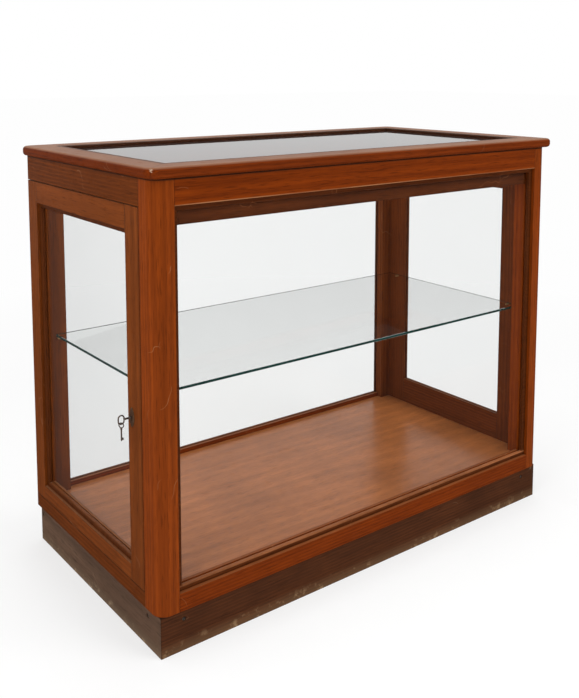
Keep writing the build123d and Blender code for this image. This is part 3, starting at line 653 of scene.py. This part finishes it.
@dataclass(frozen=True)
class MetalFinish:
    """An aged metal with a patina over it.

    Attributes:
        bare: colour where the metal is rubbed.
        aged: colour of the patina.
        metallic: how metallic the rubbed metal is.
        roughness: roughness of the patina.
        rub: how much of the surface is rubbed.
    """

    bare: Colour
    aged: Colour
    metallic: float = 0.9
    roughness: float = 0.45
    rub: float = 0.6

    def build(self, name: str, effects: Effects) -> bpy.types.Material:
        """Make the material.

        Args:
            name: the material's name.
            effects: the shared effect groups.

        Returns:
            The finished material.
        """
        material, canvas = new_material(name)
        place = canvas.node("ShaderNodeTexCoord").outputs["Object"]
        patina = effects.patina.place(canvas, {"Vector": place, "Scale": 60.0})
        edges = effects.edges.place(canvas, {"Vector": place, "Breakup Scale": 240.0})
        rubbed = canvas.plus(canvas.times(patina["Rub"], self.rub), edges["Mask"], clamp=True)
        colour = canvas.mix(rubbed, opaque(self.aged), opaque(self.bare))
        metallic = canvas.times(canvas.plus(canvas.times(rubbed, 0.5), 0.5), self.metallic)
        rough = canvas.minus(self.roughness, canvas.times(rubbed, 0.18))
        bump = canvas.node("ShaderNodeBump", {
            "Strength": 0.3, "Distance": 0.0002, "Height": patina["Mottle"], "Normal": edges["Normal"],
        })
        shader = canvas.node("ShaderNodeBsdfPrincipled", {
            "Base Color": colour, "Metallic": metallic, "Roughness": rough, "Normal": bump.outputs[0],
        })
        finish_surface(canvas, shader.outputs[0])
        return material


CASE_WOOD = WoodFinish(
    light=(0.265, 0.0430, 0.0014), dark=(0.088, 0.0125, 0.0007), pale_wear_and_sheen=(0.42, 0.19, 0.08),
)
POST_WOOD = WoodFinish(
    light=(0.310, 0.0560, 0.0042), dark=(0.112, 0.0190, 0.0016), pale_wear_and_sheen=(0.42, 0.20, 0.09),
)
# A duller copy of the case wood for the end rails, standing in for the shade on the left end: painted shade.
SHADED_END_WOOD = WoodFinish(
    light=(0.190, 0.0420, 0.0055), dark=(0.070, 0.0155, 0.0020), pale_wear_and_sheen=(0.36, 0.18, 0.10), edge=0.9,
)
DOOR_WOOD = WoodFinish(
    light=(0.240, 0.0560, 0.0085), dark=(0.090, 0.0210, 0.0035), pale_wear_and_sheen=(0.38, 0.20, 0.11), edge=0.95,
)
INNER_WOOD = WoodFinish(
    light=(0.210, 0.0470, 0.0080), dark=(0.070, 0.0160, 0.0030), pale_wear_and_sheen=(0.28, 0.12, 0.05), roughness=0.5,
)
BEAD_WOOD = WoodFinish(
    light=(0.130, 0.0310, 0.0060), dark=(0.045, 0.0105, 0.0025), pale_wear_and_sheen=(0.36, 0.13, 0.05), edge=0.6,
)
# The top's upward faces turn strongly pale grey-brown: fading and painted sheen.
TOP_WOOD = WoodFinish(
    light=(0.215, 0.0340, 0.0020), dark=(0.080, 0.0120, 0.0012), pale_wear_and_sheen=(0.34, 0.175, 0.10), fade_and_sheen=0.75,
    edge=0.7, mottle=0.4,
)
PLINTH_WOOD = WoodFinish(
    light=(0.170, 0.096, 0.060), dark=(0.060, 0.034, 0.022), pale_wear_and_sheen=(0.26, 0.17, 0.10), edge=0.5,
    roughness=0.55, mottle=0.6, foot=(0.34, 0.24, 0.15),
)
PLINTH_FRONT_WOOD = WoodFinish(
    light=(0.120, 0.036, 0.0110), dark=(0.040, 0.014, 0.0060), pale_wear_and_sheen=(0.26, 0.17, 0.10), edge=0.5,
    roughness=0.55, mottle=0.6, foot=(0.30, 0.19, 0.10),
)
FLOOR_WOOD = WoodFinish(
    light=(0.64, 0.205, 0.055), dark=(0.190, 0.058, 0.016), pale_wear_and_sheen=(0.44, 0.18, 0.07), fade_and_sheen=0.1,
    ring_scale=8.0, ring_share=0.14, contrast=1.3, roughness=0.3, coat=0.18, mottle=0.5, shine=0.3,
    wander=0.12,
)
ROUGH_WOOD = WoodFinish(
    light=(0.52, 0.36, 0.20), dark=(0.30, 0.18, 0.09), pale_wear_and_sheen=(0.45, 0.33, 0.22), roughness=0.75, mottle=0.2,
)
# Heights of the painted shadow lines under the top board and above the plinth.
TOP_SHADOW_LINE, PLINTH_SHADOW_LINE = 0.899, 0.082
# Rectangles of the dark lines at the top beads, with painted shade of their steps.
TOP_JOINT_SHADE_LINES = ((0.500, 0.235), (0.491, 0.226))
IRON = MetalFinish(bare=(0.22, 0.12, 0.06), aged=(0.075, 0.032, 0.014), metallic=0.35, roughness=0.5)
KEY_METAL = MetalFinish(bare=(0.34, 0.24, 0.19), aged=(0.050, 0.036, 0.028), metallic=0.5, roughness=0.42)
SCREW_STEEL = MetalFinish(bare=(0.30, 0.27, 0.24), aged=(0.05, 0.038, 0.030), metallic=0.6, roughness=0.5)
BRASS = MetalFinish(bare=(0.72, 0.50, 0.20), aged=(0.34, 0.22, 0.09), metallic=0.7, roughness=0.38)


def node_centre(name: str) -> Vector:
    """Return the middle of a CAD node's box."""
    low, high = (Vector(corner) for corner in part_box(name))
    return (low + high) / 2


def grain_axis(name: str) -> GrainAxis:
    """Return the grain direction of a CAD node, along its longest side."""
    low, high = (Vector(corner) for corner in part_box(name))
    size = high - low
    longest = max(range(3), key=lambda index: size[index])
    return (GrainAxis.ALONG, GrainAxis.ACROSS, GrainAxis.UPRIGHT)[longest]


def paint(name: str, material: bpy.types.Material) -> None:
    """Give every slot of a CAD node one material.

    Args:
        name: the CAD node.
        material: what it is made of.
    """
    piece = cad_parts[name]
    if not piece.material_slots:
        piece.data.materials.append(material)
    for slot in piece.material_slots:
        slot.material = material


@dataclass
class Joinery:
    """Wooden CAD nodes that share one finish.

    Attributes:
        title: what the sub-assembly is called in the log.
        finish: the wood's finish.
        nodes: the CAD nodes it covers.
        marks: joints, wear, painted shadow lines and a painted highlight on them.
    """

    title: str
    finish: WoodFinish
    nodes: tuple[str, ...]
    marks: Marks = Marks()

    def dress(self, effects: Effects) -> None:
        """Give each node a wood of its own figure."""
        for turn, name in enumerate(self.nodes):
            axis, centre = grain_axis(name), node_centre(name)
            figure = turn + len(self.title)
            paint(name, self.finish.build("wood_" + name, effects, axis, centre, figure, self.marks))
        LOG.info("%s: %d wooden pieces", self.title, len(self.nodes))


@dataclass
class Glazing:
    """The panes and the shelf.

    Attributes:
        panes: CAD node of each pane and the axis that its faces look along.
        face: tint of the panes.
        cut: colour of their cut edges.
        shelf_face: tint of the shelf.
        shelf_near_cut_shaded: colour of the shelf's edges at the front and at the door, darkened as painted
            shade.
        shelf_far_cut_lit: colour of its other edges, made pale as painted light.
        bending: index of refraction of the upright panes.
        top_bending: the same for the top pane, which mirrors more.
        shelf_bending: the same for the shelf, which mirrors less.
    """

    panes: dict[str, int] = field(default_factory=lambda: {
        "front_glass": 1, "rear_glass": 1, "door_glass": 0, "end_glass": 0, "top_glass": 2,
    })
    face: Colour = (0.985, 0.990, 0.988)
    cut: Colour = (0.10, 0.22, 0.18)
    shelf_face: Colour = (0.985, 0.993, 0.990)
    # The shelf's edges are painted dark as shade on the near side and pale as light on the far side.
    shelf_near_cut_shaded: Colour = (0.004, 0.032, 0.026)
    shelf_far_cut_lit: Colour = (0.30, 0.36, 0.34)
    bending: float = 1.31
    top_bending: float = 1.5
    shelf_bending: float = 1.26

    def dress(self, effects: Effects) -> None:
        """Give each sheet clear glass with coloured edges."""
        for name, flat in self.panes.items():
            bending = self.top_bending if name == "top_glass" else self.bending
            pane = GlassFinish(self.face, self.cut, self.cut, flat, bending)
            paint(name, pane.build("glass_" + name, effects))
        shelf = GlassFinish(self.shelf_face, self.shelf_near_cut_shaded, self.shelf_far_cut_lit, 2, self.shelf_bending)
        paint("glass_shelf", shelf.build("glass_shelf_sheet", effects))
        LOG.info("glazing: %d sheets", len(self.panes) + 1)


@dataclass
class Fittings:
    """Locks, keys, hinges, studs and plates.

    Attributes:
        finishes: the metal finish of each CAD node.
    """

    finishes: dict[str, MetalFinish] = field(default_factory=lambda: {
        "escutcheon": IRON, "lock_case": IRON, "key": KEY_METAL, "spare_key": KEY_METAL, "lock_bolt": BRASS,
        "strike_plate": BRASS, "hinge_case_leaves": BRASS, "hinge_door_leaves": BRASS, "hinge_pins": BRASS,
        "shelf_studs": BRASS,
    })

    def dress(self, effects: Effects) -> None:
        """Give each fitting its aged metal."""
        for name, finish in self.finishes.items():
            paint(name, finish.build("metal_" + name, effects))
        LOG.info("fittings: %d metal pieces", len(self.finishes))


class ScrewTree:
    """Geometry nodes that set a slotted countersunk screw on every point, turned by the point's facing."""

    sizes = (
        ("Head Radius", 0.004), ("Shank Radius", 0.002), ("Length", 0.03), ("Slot Width", 0.001),
        ("Slot Depth", 0.0008),
    )
    head_sides = 28
    shank_sides = 16
    tip_radius = 0.0002
    slot_reach = 2.6

    def __init__(self) -> None:
        """Build the tree."""
        self.tree = bpy.data.node_groups.new("Slotted screws", "GeometryNodeTree")
        face = self.tree.interface
        face.new_socket("Geometry", in_out="INPUT", socket_type="NodeSocketGeometry")
        for name, default in self.sizes:
            face.new_socket(name, in_out="INPUT", socket_type="NodeSocketFloat").default_value = default
        face.new_socket("Seed", in_out="INPUT", socket_type="NodeSocketInt").default_value = 7
        face.new_socket("Material", in_out="INPUT", socket_type="NodeSocketMaterial")
        face.new_socket("Geometry", in_out="OUTPUT", socket_type="NodeSocketGeometry")
        canvas = Canvas(self.tree)
        given = canvas.node("NodeGroupInput").outputs
        screw = self._screw(canvas, given)
        named = canvas.node("GeometryNodeInputNamedAttribute", {"Name": "facing"}, data_type="FLOAT_VECTOR")
        facing = named.outputs[0]
        aligned = canvas.node("FunctionNodeAlignRotationToVector", {"Vector": facing}, axis="Z").outputs[0]
        chance = canvas.node(
            "FunctionNodeRandomValue", {"Min": 0.0, "Max": math.pi, "Seed": given["Seed"]}, data_type="FLOAT",
        )
        angle = next(socket for socket in chance.outputs if socket.type == "VALUE")
        about = {"Axis": (0.0, 0.0, 1.0), "Angle": angle}
        rotations = {0: aligned, 1: canvas.node("FunctionNodeAxisAngleToRotation", about).outputs[0]}
        turned = canvas.node("FunctionNodeRotateRotation", rotations, rotation_space="LOCAL").outputs[0]
        placed = canvas.node("GeometryNodeInstanceOnPoints", {
            "Points": given["Geometry"], "Instance": screw, "Rotation": turned,
        })
        real = canvas.node("GeometryNodeRealizeInstances", {0: placed.outputs[0]})
        clothed = {"Geometry": real.outputs[0], "Material": given["Material"]}
        dressed = canvas.node("GeometryNodeSetMaterial", clothed)
        canvas.node("NodeGroupOutput", {0: dressed.outputs[0]})

    def _moved(
        self, canvas: Canvas, geometry: Socket, height: Socket,
    ) -> Socket:
        """Return a geometry moved along Z by a height."""
        offset = canvas.node("ShaderNodeCombineXYZ", {"Z": height}).outputs[0]
        return canvas.node("GeometryNodeTransform", {"Geometry": geometry, "Translation": offset}).outputs[0]

    def _screw(self, canvas: Canvas, given: Outputs) -> Socket:
        """Return one screw whose head face lies at the origin and looks along +Z."""
        head_depth = canvas.minus(given["Head Radius"], given["Shank Radius"])
        head = canvas.node("GeometryNodeMeshCone", {
            "Vertices": self.head_sides, "Radius Top": given["Head Radius"],
            "Radius Bottom": given["Shank Radius"], "Depth": head_depth,
        }).outputs["Mesh"]
        sunk = self._moved(canvas, head, canvas.times(head_depth, -1.0))
        slot_size = canvas.node("ShaderNodeCombineXYZ", {
            "X": canvas.times(given["Head Radius"], self.slot_reach), "Y": given["Slot Width"],
            "Z": canvas.times(given["Slot Depth"], 2.0),
        }).outputs[0]
        slot = canvas.node("GeometryNodeMeshCube", {"Size": slot_size}).outputs["Mesh"]
        pair = {0: sunk, 1: slot}
        slotted = canvas.node("GeometryNodeMeshBoolean", pair, operation="DIFFERENCE").outputs[0]
        shank = canvas.node("GeometryNodeMeshCone", {
            "Vertices": self.shank_sides, "Radius Top": given["Shank Radius"],
            "Radius Bottom": self.tip_radius, "Depth": canvas.minus(given["Length"], head_depth),
        }).outputs["Mesh"]
        lowered = self._moved(canvas, shank, canvas.times(given["Length"], -1.0))
        joined = canvas.node("GeometryNodeJoinGeometry")
        self.tree.links.new(slotted, joined.inputs[0])
        self.tree.links.new(lowered, joined.inputs[0])
        return joined.outputs[0]


def islands(mesh: bpy.types.Mesh) -> list[list[Vector]]:
    """Sort a mesh's points into the pieces that hang together.

    Args:
        mesh: a mesh of one or more closed pieces.

    Returns:
        The points of each piece.
    """
    label: dict[tuple, int] = {}
    parent: list[int] = []

    def root(index: int) -> int:
        """Return the first member of a piece."""
        while parent[index] != index:
            parent[index] = parent[parent[index]]
            index = parent[index]
        return index

    keys = [tuple(round(value, 5) for value in vertex.co) for vertex in mesh.vertices]
    for key in keys:
        if key not in label:
            label[key] = len(parent)
            parent.append(len(parent))
    for polygon in mesh.polygons:
        first, *others = (label[keys[index]] for index in polygon.vertices)
        for other in others:
            parent[root(other)] = root(first)
    pieces: dict[int, list[Vector]] = {}
    for key, index in label.items():
        pieces.setdefault(root(index), []).append(Vector(key))
    return [points for _, points in sorted(pieces.items())]


@dataclass
class ScrewSet:
    """Slotted screws that stand for one CAD node of plain screws.

    Attributes:
        node: the CAD node that they replace.
        body: the body that they ride on.
        head_radius: radius of the head.
        shank_radius: radius of the shank.
        length: length of the screw.
        slot_width: width of the slot, as a share of the head's radius.
        slot_depth: depth of the slot, as a share of the head's radius.
    """

    node: str
    body: str
    head_radius: float = 0.0026
    shank_radius: float = 0.0012
    length: float = 0.011
    slot_width: float = 0.24
    slot_depth: float = 0.22

    def spots(self) -> tuple[list[Vector], list[Vector]]:
        """Find each screw's head centre and the way that it faces.

        Returns:
            Head centres and facing directions.
        """
        centres, facings = [], []
        for points in islands(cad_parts[self.node].data):
            low = Vector([min(point[axis] for point in points) for axis in range(3)])
            high = Vector([max(point[axis] for point in points) for axis in range(3)])
            middle = (low + high) / 2
            along = max(range(3), key=lambda axis: (high - low)[axis])
            across = [axis for axis in range(3) if axis != along]
            widest = max(points, key=lambda point: sum((point[axis] - middle[axis]) ** 2 for axis in across))
            sign = 1.0 if widest[along] > middle[along] else -1.0
            centre = middle.copy()
            centre[along] = high[along] if sign > 0 else low[along]
            facing = Vector((0.0, 0.0, 0.0))
            facing[along] = sign
            centres.append(centre)
            facings.append(facing)
        return centres, facings

    def build(self, tree: ScrewTree, material: bpy.types.Material) -> bpy.types.Object:
        """Make the screws as one plain mesh and put them in place of the CAD node.

        Args:
            tree: the geometry nodes that shape a screw.
            material: the screws' metal.

        Returns:
            The finished piece.
        """
        centres, facings = self.spots()
        points = bpy.data.meshes.new("points_" + self.node)
        points.from_pydata(centres, [], [])
        attribute = points.attributes.new("facing", "FLOAT_VECTOR", "POINT")
        for item, facing in zip(attribute.data, facings):
            item.vector = facing
        holder = bpy.data.objects.new("holder_" + self.node, points)
        bpy.context.scene.collection.objects.link(holder)
        modifier = holder.modifiers.new("Screws", "NODES")
        modifier.node_group = tree.tree
        values = {
            "Head Radius": self.head_radius, "Shank Radius": self.shank_radius, "Length": self.length,
            "Slot Width": self.slot_width * self.head_radius,
            "Slot Depth": self.slot_depth * self.head_radius, "Seed": len(self.node), "Material": material,
        }
        for socket in tree.tree.interface.items_tree:
            if socket.item_type == "SOCKET" and socket.in_out == "INPUT" and socket.name in values:
                modifier[socket.identifier] = values[socket.name]
        evaluated = holder.evaluated_get(bpy.context.evaluated_depsgraph_get())
        mesh = bpy.data.meshes.new_from_object(evaluated)
        holder.modifiers.clear()
        bpy.data.objects.remove(holder)
        mesh.name = "slotted_" + self.node
        piece = bpy.data.objects.new("slotted_" + self.node, mesh)
        bpy.context.scene.collection.objects.link(piece)
        if not mesh.materials:
            mesh.materials.append(material)
        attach(piece, self.body)
        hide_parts(self.node)
        LOG.info("%s: %d slotted screws", self.node, len(centres))
        return piece


@dataclass
class Studio:
    """Floor, world, lamps and camera.

    Attributes:
        eye: the camera's place, in metres.
        turn: the camera's turn about Z, in radians.
        dip: how far the camera looks down, in radians.
        lens: focal length for a 36 mm sensor on the long side.
        rise: vertical shift of the view.
        ambient: how strongly the surroundings light the object.
        mirrored: how bright the surroundings are in a reflection.
        lamps: name, place, width in metres and power in watts of each soft lamp.
        target: the point that the lamps look at.
        backdrop: place of the bright wall that shows in reflections alone.
        backdrop_size: its width and height, in metres.
        backdrop_glow: its brightness.
        floor_reach: half width of the floor, in metres.
        white_share: share of plain white in the floor near the object.
        white_from: distance from the middle at which that share starts to grow, in metres.
        white_to: distance at which the floor is plain white.
    """

    eye: tuple[float, float, float] = (-1.31994, -1.68248, 1.09271)
    turn: float = -0.6538
    dip: float = 0.1086
    lens: float = 47.112
    rise: float = -0.26027
    ambient: float = 0.68
    mirrored: float = 0.07
    lamps: tuple[tuple[str, tuple[float, float, float], float, float], ...] = (
        ("key_lamp", (1.6, -3.2, 2.6), 2.4, 70.0),
        ("fill_lamp", (-3.4, -0.9, 2.0), 2.4, 62.0),
        ("top_lamp", (0.2, 0.2, 3.2), 2.6, 22.0),
    )
    backdrop: tuple[float, float, float] = (2.8, 3.4, 1.7)
    backdrop_size: tuple[float, float] = (8.6, 3.6)
    backdrop_glow: float = 0.72
    target: tuple[float, float, float] = (0.0, 0.0, 0.5)
    floor_reach: float = 30.0
    white_share: float = 0.58
    white_from: float = 0.6
    white_to: float = 2.6

    def build(self) -> None:
        """Make the whole studio."""
        self._world()
        self._floor()
        self._lamps()
        self._camera()
        bpy.context.scene.view_settings.view_transform = "Standard"
        LOG.info("studio: floor, world, %d lamps and camera", len(self.lamps))

    def _world(self) -> None:
        """Make a white surrounding that lights the object softly."""
        world = bpy.data.worlds.new("studio")
        world.use_nodes = True
        bpy.context.scene.world = world
        canvas = Canvas(world.node_tree)
        path, seen, _ = canvas.rays()
        glossy = canvas.times(path["Is Glossy Ray"], self.mirrored)
        other = canvas.times(canvas.minus(1.0, path["Is Glossy Ray"]), self.ambient)
        strength = canvas.larger(seen, canvas.larger(glossy, other))
        light = canvas.node("ShaderNodeBackground", {"Color": WHITE, "Strength": strength})
        canvas.node("ShaderNodeOutputWorld", {"Surface": light.outputs[0]})

    def _floor(self) -> None:
        """Make a pale floor that keeps the object's shadow."""
        mesh = bpy.data.meshes.new("floor")
        reach = self.floor_reach
        corners = [(-reach, -reach, 0.0), (reach, -reach, 0.0), (reach, reach, 0.0), (-reach, reach, 0.0)]
        mesh.from_pydata(corners, [], [(0, 1, 2, 3)])
        floor = bpy.data.objects.new("floor", mesh)
        bpy.context.scene.collection.objects.link(floor)
        material, canvas = new_material("floor_paint")
        place = canvas.node("ShaderNodeTexCoord").outputs["Object"]
        cloud = canvas.ramp(canvas.noise(place, 0.8, 3.0)["Fac"], 0.3, 0.7)
        tone = canvas.mix(cloud, opaque((0.90, 0.90, 0.90)), opaque((0.93, 0.93, 0.925)))
        matt = canvas.node("ShaderNodeBsdfDiffuse", {"Color": tone}).outputs[0]
        white = canvas.node("ShaderNodeEmission", {"Color": WHITE, "Strength": 0.99}).outputs[0]
        dim = canvas.node("ShaderNodeEmission", {"Color": WHITE, "Strength": self.mirrored}).outputs[0]
        _, seen, mirrored = canvas.rays()
        away = canvas.ramp(canvas.vector("LENGTH", place)["Value"], self.white_from, self.white_to)
        share = canvas.plus(canvas.times(away, 1.0 - self.white_share), self.white_share)
        both = canvas.blend(canvas.times(share, seen), matt, white)
        finish_surface(canvas, canvas.blend(mirrored, both, dim))
        mesh.materials.append(material)

    def _lamps(self) -> None:
        """Hang the soft lamps, all pointing at the middle of the object."""
        for name, place, size, power in self.lamps:
            data = bpy.data.lights.new(name, "AREA")
            data.size = size
            data.energy = power
            lamp = bpy.data.objects.new(name, data)
            lamp.location = place
            lamp.rotation_euler = (Vector(self.target) - Vector(place)).to_track_quat("-Z", "Y").to_euler()
            lamp.visible_glossy = False
            bpy.context.scene.collection.objects.link(lamp)
        wide, high = self.backdrop_size
        data = bpy.data.lights.new("backdrop_glow", "AREA")
        data.shape = "RECTANGLE"
        data.size, data.size_y = wide, high
        data.energy = self.backdrop_glow * math.pi * wide * high
        glow = bpy.data.objects.new("backdrop_glow", data)
        glow.location = self.backdrop
        glow.rotation_euler = (-math.pi / 2, 0.0, 0.0)
        glow.visible_camera = glow.visible_diffuse = glow.visible_transmission = False
        bpy.context.scene.collection.objects.link(glow)

    def _camera(self) -> None:
        """Set the camera at the photograph's viewing angle."""
        data = bpy.data.cameras.new("camera")
        data.lens = self.lens
        data.sensor_width = 36.0
        data.sensor_fit = "AUTO"
        data.shift_y = self.rise
        data.clip_end = 100.0
        camera = bpy.data.objects.new("camera", data)
        camera.location = self.eye
        camera.rotation_euler = (math.pi / 2 - self.dip, 0.0, self.turn)
        bpy.context.scene.collection.objects.link(camera)
        bpy.context.scene.camera = camera


def joinery() -> list[Joinery]:
    """List the wooden sub-assemblies."""
    worn_corner = Vector((-0.5535, -0.2885, 0.9150))
    # Painted shadow lines under the top board and above the plinth.
    shadow_under_top, shadow_above_plinth = Marks(seam=TOP_SHADOW_LINE), Marks(seam=PLINTH_SHADOW_LINE)
    return [
        Joinery("front posts", POST_WOOD, ("post_front_left", "post_front_right"), shadow_under_top),
        Joinery("rear posts", DOOR_WOOD, ("post_rear_left", "post_rear_right"), shadow_under_top),
        Joinery("bottom rails", CASE_WOOD, ("bottom_rail_front", "bottom_rail_rear")),
        # Painted shadow under the top board, and a pale line of wear and painted highlight along the rail's
        # lower edge.
        Joinery("top front rail", CASE_WOOD, ("top_rail_front",), Marks(seam=TOP_SHADOW_LINE, lip_wear_and_highlight=0.8485)),
        Joinery("top rear rail", CASE_WOOD, ("top_rail_rear",), shadow_under_top),
        Joinery("end rails", SHADED_END_WOOD, ("top_rail_left", "top_rail_right"), shadow_under_top),
        Joinery("low end rails", SHADED_END_WOOD, ("bottom_rail_left", "bottom_rail_right")),
        Joinery("inner strips", INNER_WOOD, ("door_stop_strip",)),
        Joinery("lintel", BEAD_WOOD, ("front_lintel",)),
        Joinery("end frame", INNER_WOOD, (
            "end_stile_front", "end_stile_rear", "end_rail_top", "end_rail_bottom",
        )),
        Joinery("door", DOOR_WOOD, (
            "door_stile_lock", "door_stile_hinge", "door_rail_top", "door_rail_bottom",
        )),
        # A pale line of wear and painted highlight along the beads' edge at this height.
        Joinery("front beads", BEAD_WOOD, ("front_beads",), Marks(lip_wear_and_highlight=0.1272)),
        Joinery("other beads", BEAD_WOOD, ("rear_beads", "end_beads", "door_beads")),
        Joinery("top beads", TOP_WOOD, ("top_beads",), Marks(rings=TOP_JOINT_SHADE_LINES)),
        Joinery(
            "top frame", TOP_WOOD, ("top_frame_front", "top_frame_left", "top_frame_right", "top_frame_rear"),
            Marks(chips=(worn_corner,), rings=TOP_JOINT_SHADE_LINES),
        ),
        Joinery("plinth front", PLINTH_FRONT_WOOD, ("plinth_front",), shadow_above_plinth),
        Joinery("plinth", PLINTH_WOOD, ("plinth_left", "plinth_right", "plinth_rear"), shadow_above_plinth),
        Joinery("floor", FLOOR_WOOD, ("floor_board",), Marks(tilt=0.06)),
        Joinery("hidden timber", ROUGH_WOOD, ("floor_bearers", "plinth_corner_blocks")),
    ]


def screw_sets() -> list[ScrewSet]:
    """List the sets of screws."""
    return [
        ScrewSet("plinth_screws", "case", 0.004, 0.0021, 0.032),
        ScrewSet("strike_screws", "case"),
        ScrewSet("hinge_case_screws", "case"),
        ScrewSet("hinge_door_screws", "door"),
        ScrewSet("lock_screws", "door"),
    ]


def main() -> None:
    """Build and dress every part of the counter in order."""
    logging.basicConfig(level=logging.INFO, format="%(name)s: %(message)s")
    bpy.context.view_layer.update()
    Studio().build()
    effects = Effects()
    for group in joinery():
        group.dress(effects)
    Glazing().dress(effects)
    Fittings().dress(effects)
    tree = ScrewTree()
    steel = SCREW_STEEL.build("metal_screws", effects)
    for screws in screw_sets():
        screws.build(tree, steel)
    LOG.info("sizes written")


if __name__ == "__main__":
    main()
